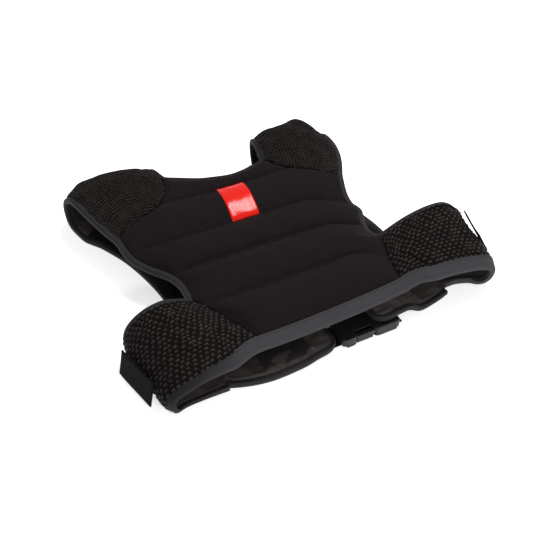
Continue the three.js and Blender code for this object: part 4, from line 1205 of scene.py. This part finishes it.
def build_panel():
    us = evenly(GRIDS["panel"][0])
    top, low, out = make_skins(panel, us, panel_rows, FALLS["panel"])
    seams = [int(np.argmin(np.abs(panel_rows - along))) for along in SEAMS.values()]
    top, low = swell(top, low, seams, **SWELL["panel"])
    u, row = np.meshgrid(us, panel_rows)
    x, y = panel_place(u, bent(u, row))
    ends = 1 - np.abs(2 * u - 1) ** 5
    lumps = waves("panel", x * 0.5, y) * ends
    beside = np.min([np.abs(row - seam) for seam in SEAMS.values()], axis=0) * LENGTH
    crease = edge_fall(beside, SEAM_CREASE, SEAM_REACH)
    near_seam = np.exp(-beside / SEAM_REACH) * ease(beside / 2)
    pucker = waves("pucker", x, y * 0.3) * near_seam * ends
    cloth_top = top + out * ((lumps + pucker - crease) * MM)[..., None]
    weave = np.stack([x * MM, y * MM], axis=-1)
    piece = closed_body("back_panel_padding", cloth_top, low, weave)
    keep(piece, neoprene, "neoprene", "back_panel")
    return cloth_top


def roll_weave(top):
    """Cloth coordinates of a rolled sheet, measured along it from the side of its roll."""
    cols = top.shape[1]
    run_u, run_v = arc(top, 1), arc(top, 0)
    side = int(round(ROLL_OVER_END * (cols - 1)))
    even_v = np.broadcast_to(run_v.mean(1)[:, None], run_u.shape)
    return np.stack([run_u - run_u[:, side:side + 1], even_v], -1)


def freedom(cols, rows):
    """How free the cloth is at each point of a grid: 0 at its borders, 1 inside."""
    v, u = np.meshgrid(evenly(rows), evenly(cols), indexing="ij")
    return ease(np.minimum(u, 1 - u) * 12) * ease(np.minimum(v, 1 - v) * 8)


def line_inside(piece, cols, rows):
    """Gives the inner skin of a rolled sheet the lining's cloth."""
    piece.data.materials.append(lining_cloth)
    which = np.zeros(len(piece.data.polygons), int)
    which[1:2 * (rows - 1) * (cols - 1):2] = 1      # skin_faces lists upper and lower ones in turn
    piece.data.polygons.foreach_set("material_index", which)


def net_places(top, out, weave, cell, staggered):
    """Where the elements of a net lie on a rolled sheet, in metres, with the direction along the
    cloth and the direction out of it at each of them."""
    rows, cols = top.shape[:2]
    normals = grid_normals(top)
    if np.sum(normals * out) < 0:
        normals = -normals
    across = unit(np.gradient(top, axis=1))
    height = weave[-1, 0, 1]
    pitch_u, pitch_v = cell
    margin = pitch_v * NET_MARGIN * MM
    steps = int((height - 2 * margin) / (pitch_v * MM))
    points, along, up = [], [], []
    for row in range(steps + 1):
        run_v = margin + row * (height - 2 * margin) / steps
        at_row = float(np.interp(run_v, weave[:, 0, 1], np.arange(rows)))
        k = min(int(at_row), rows - 2)
        share = at_row - k
        run_u = mix(weave[k, :, 0], weave[k + 1, :, 0], share)
        offset = (row % 2) * 0.5 if staggered else 0
        first = math.ceil((run_u[0] / MM + NET_INSET) / pitch_u + offset)
        last = math.floor((run_u[-1] / MM - NET_INSET) / pitch_u + offset)
        wanted = (np.arange(first, last + 1) - offset) * pitch_u * MM
        at = np.interp(wanted, run_u, np.arange(cols))
        for found, grid in ((points, top), (along, across), (up, normals)):
            found.append(pick(mix(grid[k], grid[k + 1], share), at))
    points, along, up = (np.concatenate(part) for part in (points, along, up))
    clear = points[:, 2] > NET_FROM * MM
    points, along, up = points[clear], along[clear], up[clear]
    drift = waves("net", points[:, 0] / MM, (points[:, 1] + points[:, 2]) / MM)
    return points + along * (drift * MM)[:, None] + up * NET_RISE * MM, along, up


def build_roll(name, form, sheet, cell, net_tree, staggered):
    """A rolled sheet of mesh with its lining and its raised net, in staggered or in even rows."""
    cols, rows = GRIDS[form]
    top, low, out = make_skins(sheet, evenly(cols), evenly(rows), FALLS[form])
    top, low = swell(top, low, [], **SWELL["roll"])
    soft = waves("roll", top[..., 0] / MM, top[..., 1] / MM + top[..., 2] / MM)
    crumple = waves("lining", low[..., 0] / MM, low[..., 1] / MM + low[..., 2] / MM)
    top = top + out * (soft * MM)[..., None]
    low = low + out * (crumple * MM)[..., None] * freedom(cols, rows)[..., None]
    for skin in (top, low):
        skin[..., 2] = np.maximum(skin[..., 2], FLOOR_CLEAR)
    weave = roll_weave(top)
    piece = closed_body(f"{name}_cloth", top, low, weave)
    keep(piece, mesh_ground, "spacer_mesh", name)
    line_inside(piece, cols, rows)
    points, along, up = net_places(top, out, weave, cell, staggered)
    sizes = [cell[0] * MM, cell[1] * MM, NET_HEIGHT * MM]
    net = lay_elements(f"{name}_net", net_tree, points, along, up, sizes, NET_SEED, NET_UNEVENNESS)
    keep(net, None, "spacer_mesh")


def build_front(side):
    sheet = fronts[side]
    cols, rows = GRIDS["front"]
    top, low, out = make_skins(sheet, evenly(cols), evenly(rows), FALLS["front"])
    top, low = swell(top, low, [], **SWELL["front"])
    low[..., 2] = np.maximum(low[..., 2], FLOOR_CLEAR)
    soft = waves("front", top[..., 0] / MM, top[..., 1] / MM)
    top = top + out * (soft * MM)[..., None]
    piece = closed_body(f"front_panel_{side}_padding", top, low, top[..., :2])
    keep(piece, neoprene, "neoprene", f"front_panel_{side}")


def towards_nose(shares):
    """Shares of a belt's length that lie closer together towards its round nose."""
    return 1 - (1 - shares) ** 1.6


def build_belt(side):
    sheet = belts[side]
    cols, rows = GRIDS["belt"]
    top, low, out = make_skins(sheet, towards_nose(evenly(cols)), evenly(rows), FALLS["belt"])
    top, low = swell(top, low, [], **SWELL["belt"])
    low[..., 2] = np.maximum(low[..., 2], FLOOR_CLEAR)
    folds = waves("belt", top[..., 0] / MM * 0.3, top[..., 1] / MM)
    inside = 4 * evenly(rows) * (1 - evenly(rows))
    top = top + out * (folds * inside[:, None] * MM)[..., None]
    piece = closed_body(f"waist_belt_{side}_padding", top, low, top[..., :2])
    keep(piece, lining_cloth, "neoprene", f"waist_belt_{side}")


# Bound edges and tapes

def border(sheet, places):
    u = np.array([place[0] for place in places], float)
    v = np.array([place[1] for place in places], float)
    return sheet.mid(u, v), sheet.normal(u, v)


def join_paths(parts):
    """One path from several, without places that lie too close to the one before."""
    mids = np.concatenate([mid for mid, _ in parts])
    ups = np.concatenate([up for _, up in parts])
    kept = [0]
    for k in range(1, len(mids)):
        if np.linalg.norm(mids[k] - mids[kept[-1]]) > PATH_APART:
            kept.append(k)
    return mids[kept], ups[kept]


def smooth_path(mids, ups):
    """The same path at even steps, eased so that its corners turn softly."""
    run = arc(mids[:, None, :], 0)[:, 0]
    at = np.linspace(0, run[-1], max(8, int(run[-1] / PATH_STEP)))
    points = np.stack([np.interp(at, run, mids[:, k]) for k in range(3)], -1)
    normals = np.stack([np.interp(at, run, ups[:, k]) for k in range(3)], -1)
    for _ in range(PATH_ROUNDS):
        points[1:-1] = (points[:-2] + 2 * points[1:-1] + points[2:]) / 4
        normals[1:-1] = (normals[:-2] + 2 * normals[1:-1] + normals[2:]) / 4
    return points, unit(normals)


def band_frames(mids, ups, hand):
    points = slanted(mids)
    along = path_directions(points)
    out = unit(np.cross(along, ups)) * hand
    up = unit(np.cross(out, along)) * hand
    up = np.where(np.sum(up * ups, -1, keepdims=True) < 0, -up, up)
    return points, along, out, up


def sweep(name, mids, ups, hand, section, droop=0.0, share=None):
    """A closed band whose section, as (out, up) pairs in millimetres, follows a path. share is
    how much of its width it keeps at each place of the path."""
    points, _, out, up = band_frames(mids, ups, hand)
    section = np.array(section)
    share = np.ones(len(points)) if share is None else share
    o = section[None, :, 0] * share[:, None]
    thin = mix(HEM_TAPE_THIN, 1, clamp01((share - HEM_TAPE_NARROW) / (1 - HEM_TAPE_NARROW)))
    n = section[None, :, 1] * thin[:, None] - droop * o
    grid = points[:, None, :] + out[:, None, :] * o[..., None] + up[:, None, :] * n[..., None]
    grid = grid * MM + LAYOUT_SHIFT
    grid[..., 2] = np.maximum(grid[..., 2], FLOOR_CLEAR)
    rows, cols = grid.shape[:2]
    faces = []
    for i in range(rows - 1):
        for j in range(cols):
            q = (j + 1) % cols
            faces.append((i * cols + j, i * cols + q, (i + 1) * cols + q, (i + 1) * cols + j))
    faces.append(tuple(range(cols - 1, -1, -1)))
    faces.append(tuple((rows - 1) * cols + j for j in range(cols)))
    run = arc(points[:, None, :], 0)[:, 0] * MM
    girth = arc(section[:, None, :], 0)[:, 0] * MM
    uvs = np.stack(np.broadcast_arrays(run[:, None], girth[None, :]), -1)
    piece = new_piece(name, grid, faces, uvs)
    signed = sum(
        Vector(piece.data.vertices[f.vertices[0]].co).dot(f.normal) * f.area for f in piece.data.polygons
    )
    if signed < 0:
        piece.data.flip_normals()
    return piece


def binding_section():
    """A folded tape round an edge: flat on both sides, with a round nose."""
    width, tall, wall, overlap = BINDING_WIDTH, BINDING_TALL, BINDING_WALL, BINDING_OVERLAP
    steps = np.linspace(math.pi / 2, -math.pi / 2, 9)
    nose = [(width - tall * 0.6 + tall * 0.6 * math.cos(a), (tall + wall) * math.sin(a)) for a in steps]
    top = [(-overlap, tall), (-overlap + 0.3, tall + wall * 0.8), (width * 0.25, tall + wall * 1.15)]
    low = [(width * 0.25, -tall - wall * 1.15), (-overlap + 0.3, -tall - wall * 0.8), (-overlap, -tall)]
    return top + nose + low


def ribbed_section():
    """The hem tape: lengthwise ribs over a flat upper side, a round nose and a flat underside."""
    width, tall = HEM_TAPE_WIDTH, HEM_TAPE_TALL
    inner, outer = -HEM_TAPE_OVERLAP, width - HEM_TAPE_NOSE
    across = np.linspace(inner, outer, HEM_TAPE_RIBS * 4 + 1)
    turns = (across - inner) / (outer - inner) * HEM_TAPE_RIBS * 2 * math.pi
    top = list(zip(across, tall + 0.4 + HEM_TAPE_RELIEF * np.cos(turns)))
    nose = [(outer + HEM_TAPE_NOSE * math.cos(a), (tall + 0.3) * math.sin(a))
            for a in np.linspace(1.3, -1.3, 7)]
    low = [(outer - 0.2, -tall - 0.2), (width * 0.5, -tall - 0.3), (inner, -tall)]
    return top + nose + low


def sew_along(name, mids, ups, hand, offset, height):
    """A row of stitches beside a path: offset outwards and height upwards, in millimetres."""
    points, along, out, up = band_frames(mids, ups, hand)
    line = points + out * offset + up * height
    at = spaced(line, STITCH_STEP)
    places = pick(line, at) * MM + LAYOUT_SHIFT
    sizes = [size * MM for size in STITCH_SIZE]
    piece = lay_elements(name, stitch_tree, places, pick(along, at), pick(up, at), sizes,
                         STITCH_SEED, STITCH_UNEVENNESS)
    keep(piece, None, "edge_binding")


ROLL_SHARES = evenly(90)


def build_hem_tape():
    parts = [
        border(wings["left"], [(u, 0) for u in ROLL_SHARES[::-1]]),
        border(panel, [(u, SEAMS["hem"]) for u in evenly(60)]),
        border(wings["right"], [(u, 0) for u in ROLL_SHARES]),
    ]
    mids, ups = smooth_path(*join_paths(parts))
    share = mix(1, HEM_TAPE_NARROW, ease_between(-mids[:, 0] / HALF_WIDTH, HEM_TAPE_NARROWS))
    piece = sweep("hem_tape_ribbed", mids, ups, 1, ribbed_section(), HEM_TAPE_DROOP, share)
    keep(piece, tape_cloth, "ribbed_tape", "hem_tape")
    out, high = HEM_STITCHES["out"], HEM_STITCHES["high"]
    sew_along("hem_tape_stitches", mids, ups, 1, out, high - HEM_TAPE_DROOP * out)


def build_binding(name, parts, hand, node, material):
    mids, ups = smooth_path(*join_paths(parts))
    piece = sweep(f"{name}_tape", mids, ups, hand, binding_section())
    keep(piece, material, "edge_binding", node)
    sew_along(f"{name}_stitches", mids, ups, hand, BINDING_STITCHES["out"], BINDING_STITCHES["high"])


def build_bindings(side):
    hand = HAND[side]
    edge = 0 if hand < 0 else 1
    arm_start = FLANK_CORNER + BINDING_WIDTH / LENGTH / 1.2
    mids, ups = border(fronts[side], [(1, v) for v in np.linspace(1, ARMHOLE_BINDING_TO, 60)])
    armhole = [
        border(panel, [(edge, v) for v in np.linspace(arm_start, YOKE_CORNER, 60)]),
        border(yokes[side], [(u, 1) for u in ROLL_SHARES]),
        (mids, -ups),
    ]
    build_binding(f"armhole_{side}", armhole, hand, f"armhole_binding_{side}", binding_cloth)
    upper = border(wings[side], [(u, 1) for u in ROLL_SHARES[ROLL_SHARES < WING_BINDING_TO]])
    build_binding(f"wing_{side}", [upper], -hand, f"wing_binding_{side}", binding_cloth)
    far_from = float(front_edge("inner", side, FRONT_START)) if side == "left" else BUCKLE_RIGHT_X
    rows = towards_nose(np.linspace(BELT_BINDING_FROM, 1, 70))
    tip = evenly(20)
    far = [u for u in rows if belts[side].mid(np.array([u]), np.array([1.0]))[0, 0] * hand < far_from]
    edge_path = [
        border(belts[side], [(u, 0) for u in rows]),
        border(belts[side], [(1, v) for v in tip]),
        border(belts[side], [(u, 1) for u in far[::-1]]),
    ]
    build_binding(f"belt_{side}", edge_path, -hand, f"belt_binding_{side}", belt_edge_cloth)


def build_neck_binding():
    parts = [
        border(yokes["left"], [(u, 0) for u in ROLL_SHARES[::-1]]),
        border(panel, [(u, SEAMS["neck"]) for u in evenly(50)]),
        border(yokes["right"], [(u, 0) for u in ROLL_SHARES]),
    ]
    build_binding("neck", parts, -1, "neck_binding", dark_binding)


# Small pieces

def build_label(panel_top):
    middle = (SEAMS["third"] + SEAMS["fourth"]) / 2
    rows = np.linspace(*LABEL_ROWS, 41)
    share, v = np.meshgrid(evenly(25), rows)
    left, _ = panel_place(0.0, v)
    right, _ = panel_place(1.0, v)
    x = LABEL_MIDDLE_X + LABEL_LEAN * (v - middle) * LENGTH + (share - 0.5) * LABEL_WIDTH
    u = (x - left) / (right - left)
    row_at = np.interp(v, panel_rows, np.arange(len(panel_rows)))
    col_at = u * (panel_top.shape[1] - 1)
    base = np.empty(v.shape + (3,))
    for i in range(v.shape[0]):
        base[i] = resample(panel_top, row_at[i, :1], col_at[i])[0]
    for _ in range(LABEL_SMOOTHING):
        base[1:-1] = (base[:-2] + 2 * base[1:-1] + base[2:]) / 4
        base[:, 1:-1] = (base[:, :-2] + 2 * base[:, 1:-1] + base[:, 2:]) / 4
    up = grid_normals(base)
    up = np.where(up[..., 2:] < 0, -up, up)
    rim = np.minimum(np.minimum(share, 1 - share) * LABEL_WIDTH,
                     np.minimum(v - rows[0], rows[-1] - v) * LENGTH)
    thick = LABEL_THICKNESS * mix(LABEL_RIM_SHARE, 1, ease(rim / LABEL_RIM))
    top = base + up * ((GAP + thick) * MM)[..., None]
    low = base + up * (GAP * 0.5 * MM)
    piece = closed_body("red_label_gloss", top, low, top[..., :2])
    keep(piece, label_gloss, "gloss_label", "red_label")


def build_patch():
    sheet = belts["left"]
    us, vs = np.linspace(*PATCH_ALONG, 40), np.linspace(*PATCH_ACROSS, 14)
    top, _ = surface(sheet, us, vs)
    base = laid(top)
    up = np.array([0, 0, 1])
    face, back = base + up * (GAP + PATCH_THICKNESS) * MM, base + up * GAP * 0.3 * MM
    piece = closed_body("fastening_patch_tape", face, back, base[..., :2])
    keep(piece, hook_cloth, "hook_tape", "fastening_patch")


def build_tab(side):
    """A short piece of webbing that is sewn to the wing's side and stands out past it."""
    place = TAB_PLACES[side]
    sheet = wings[side]
    u, v = np.array([place["round"]]), np.array([place["along"]])
    normal = sheet.normal(u, v)[0]
    clear = SHEET / 2 + GAP + TAB_THICKNESS / 2 + place["lift"] * place["seat"] * TAB_LENGTH
    seat = sheet.mid(u, v)[0] + normal * clear
    beside = 0.1
    along = unit(sheet.mid(u, v + beside)[0] - sheet.mid(u, v - beside)[0])
    width = unit(np.cross(normal, along))
    length = along * math.cos(place["lift"]) + normal * math.sin(place["lift"])
    normal = unit(np.cross(length, width))
    downward = 1 if width[2] < 0 else -1
    a, b = np.meshgrid(np.linspace(-0.5, 0.5, 36), np.linspace(-0.5, 0.5, 18))
    run = (a + 0.5 - place["seat"]) * TAB_LENGTH
    drop = (b + place["drop"] * downward) * TAB_WIDTH
    flat = seat + length * run[..., None] + width * drop[..., None]
    bow = waves("tab", a * TAB_LENGTH, b * TAB_WIDTH)
    flat = flat + normal * bow[..., None]
    rim = np.minimum((0.5 - np.abs(a)) * TAB_LENGTH, (0.5 - np.abs(b)) * TAB_WIDTH)
    half = TAB_THICKNESS / 2 * mix(TAB_RIM_SHARE, 1, ease(rim / TAB_RIM))
    top, low = laid(flat + normal * half[..., None]), laid(flat - normal * half[..., None])
    weave = np.stack([a * TAB_LENGTH * MM, b * TAB_WIDTH * MM], -1)
    piece = closed_body(f"side_tab_{side}_webbing", top, low, weave)
    keep(piece, webbing_cloth, "webbing", f"side_tab_{side}")


def rounded_copy(node, name, width, material, slot, reach=None):
    """A CAD node's shape with its edges rounded, as a new mesh. reach is how far across it goes,
    where the rest of it is hidden in a seam."""
    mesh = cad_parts[node].data.copy()
    piece = bpy.data.objects.new(name, mesh)
    bpy.context.scene.collection.objects.link(piece)
    weld = piece.modifiers.new("weld", "WELD")
    weld.merge_threshold = 0.00002
    flat = piece.modifiers.new("flat", "DECIMATE")
    flat.decimate_type = "DISSOLVE"
    flat.angle_limit = math.radians(1)
    soft = piece.modifiers.new("soft", "BEVEL")
    soft.width = width * MM
    soft.segments = 3
    soft.limit_method = "ANGLE"
    soft.angle_limit = math.radians(35)
    soft.harden_normals = True
    graph = bpy.context.evaluated_depsgraph_get()
    made = bpy.data.meshes.new_from_object(piece.evaluated_get(graph), depsgraph=graph)
    piece.modifiers.clear()
    piece.data = made
    made.name = name
    made.materials.clear()
    layer = made.uv_layers.get("weave") or made.uv_layers.new(name="weave")
    corners = np.zeros(len(made.loops), int)
    made.loops.foreach_get("vertex_index", corners)
    places = np.zeros(len(made.vertices) * 3)
    made.vertices.foreach_get("co", places)
    if reach is not None:
        places[::3] = np.minimum(places[::3], reach)
        made.vertices.foreach_set("co", places)
    layer.data.foreach_set("uv", places.reshape(-1, 3)[corners][:, :2].astype(np.float32).ravel())
    keep(piece, material, slot, node)


panel_top = build_panel()
for side in SIDES:
    build_roll(f"side_wing_{side}", "wing", wings[side], WING_CELL, knot_tree, True)
    build_roll(f"shoulder_yoke_{side}", "yoke", yokes[side], YOKE_CELL, crossing_tree, False)
    build_front(side)
    build_belt(side)
    build_bindings(side)
    build_tab(side)
build_hem_tape()
build_neck_binding()
build_label(panel_top)
build_patch()
rounded_copy("buckle_socket", "buckle_socket_moulded", BUCKLE_EDGE, plastic, "buckle_plastic")
rounded_copy("buckle_plug", "buckle_plug_moulded", BUCKLE_EDGE, plastic, "buckle_plastic")
rounded_copy("webbing_left", "webbing_left_woven", WEBBING_EDGE, webbing_cloth, "webbing")
rounded_copy("webbing_right", "webbing_right_woven", WEBBING_EDGE, webbing_cloth, "webbing",
             reach=LAYOUT_SHIFT[0] + (BUCKLE_RIGHT_X + WEBBING_SHOWN) * MM)


# Floor, light and camera

FLOOR_HALF = 6
FLOOR_DROP = 0.0002
FLOOR_COLOUR = (0.88, 0.88, 0.88)
FLOOR_GLOW = 0.62
SKY_STRENGTH = 0.36

# The lamps' places and sizes in metres, and their power in watts.
LAMPS = {
    "overhead_softbox": {
        "place": (0.62, 0.42, 1.4), "target": (0, 0.05, 0), "size": (0.8, 0.6), "power": 22,
    },
    "front_strip": {
        "place": (-0.25, -0.95, 0.55), "target": (0, -0.18, 0.01), "size": (0.3, 0.06), "power": 4,
    },
}


def pale_material():
    """A matt floor that glows a little, so that it stays nearly white behind the vest."""
    material, _, shader = new_material("pale_floor")
    shader.inputs["Base Color"].default_value = (*FLOOR_COLOUR, 1)
    shader.inputs["Roughness"].default_value = 0.9
    shader.inputs["Specular IOR Level"].default_value = 0.0
    shader.inputs["Emission Color"].default_value = (1, 1, 1, 1)
    shader.inputs["Emission Strength"].default_value = FLOOR_GLOW
    return material


def area_light(name, place, target, size, power):
    data = bpy.data.lights.new(name, "AREA")
    data.shape = "RECTANGLE"
    data.size, data.size_y = size
    data.energy = power
    lamp = bpy.data.objects.new(name, data)
    lamp.location = place
    lamp.rotation_euler = (Vector(target) - Vector(place)).to_track_quat("-Z", "Y").to_euler()
    bpy.context.scene.collection.objects.link(lamp)


corners = [(a * FLOOR_HALF, b * FLOOR_HALF, 0) for a, b in ((-1, -1), (1, -1), (1, 1), (-1, 1))]
floor = new_piece("floor", corners, [(0, 1, 2, 3)], smooth=False)
floor.data.materials.append(pale_material())
floor.location.z = -FLOOR_DROP

world = bpy.data.worlds.new("studio")
bpy.context.scene.world = world
world.use_nodes = True
world.node_tree.nodes["Background"].inputs["Color"].default_value = (1, 1, 1, 1)
world.node_tree.nodes["Background"].inputs["Strength"].default_value = SKY_STRENGTH
for lamp_name, lamp in LAMPS.items():
    area_light(lamp_name, **lamp)

CAMERA_PLACE = (-481.3, -811.4, 872.5)
CAMERA_TURN = 27.2
CAMERA_DOWN = 39.5
CAMERA_LENS = 77.14
CAMERA_SENSOR = 36
camera_data = bpy.data.cameras.new("camera")
camera_data.lens = CAMERA_LENS
camera_data.sensor_width = CAMERA_SENSOR
camera = bpy.data.objects.new("camera", camera_data)
camera.location = Vector(CAMERA_PLACE) * MM + Vector(LAYOUT_SHIFT)
camera.rotation_euler = (math.radians(90 - CAMERA_DOWN), 0, -math.radians(CAMERA_TURN))
bpy.context.scene.collection.objects.link(camera)
bpy.context.scene.camera = camera
bpy.context.scene.view_settings.view_transform = "Standard"
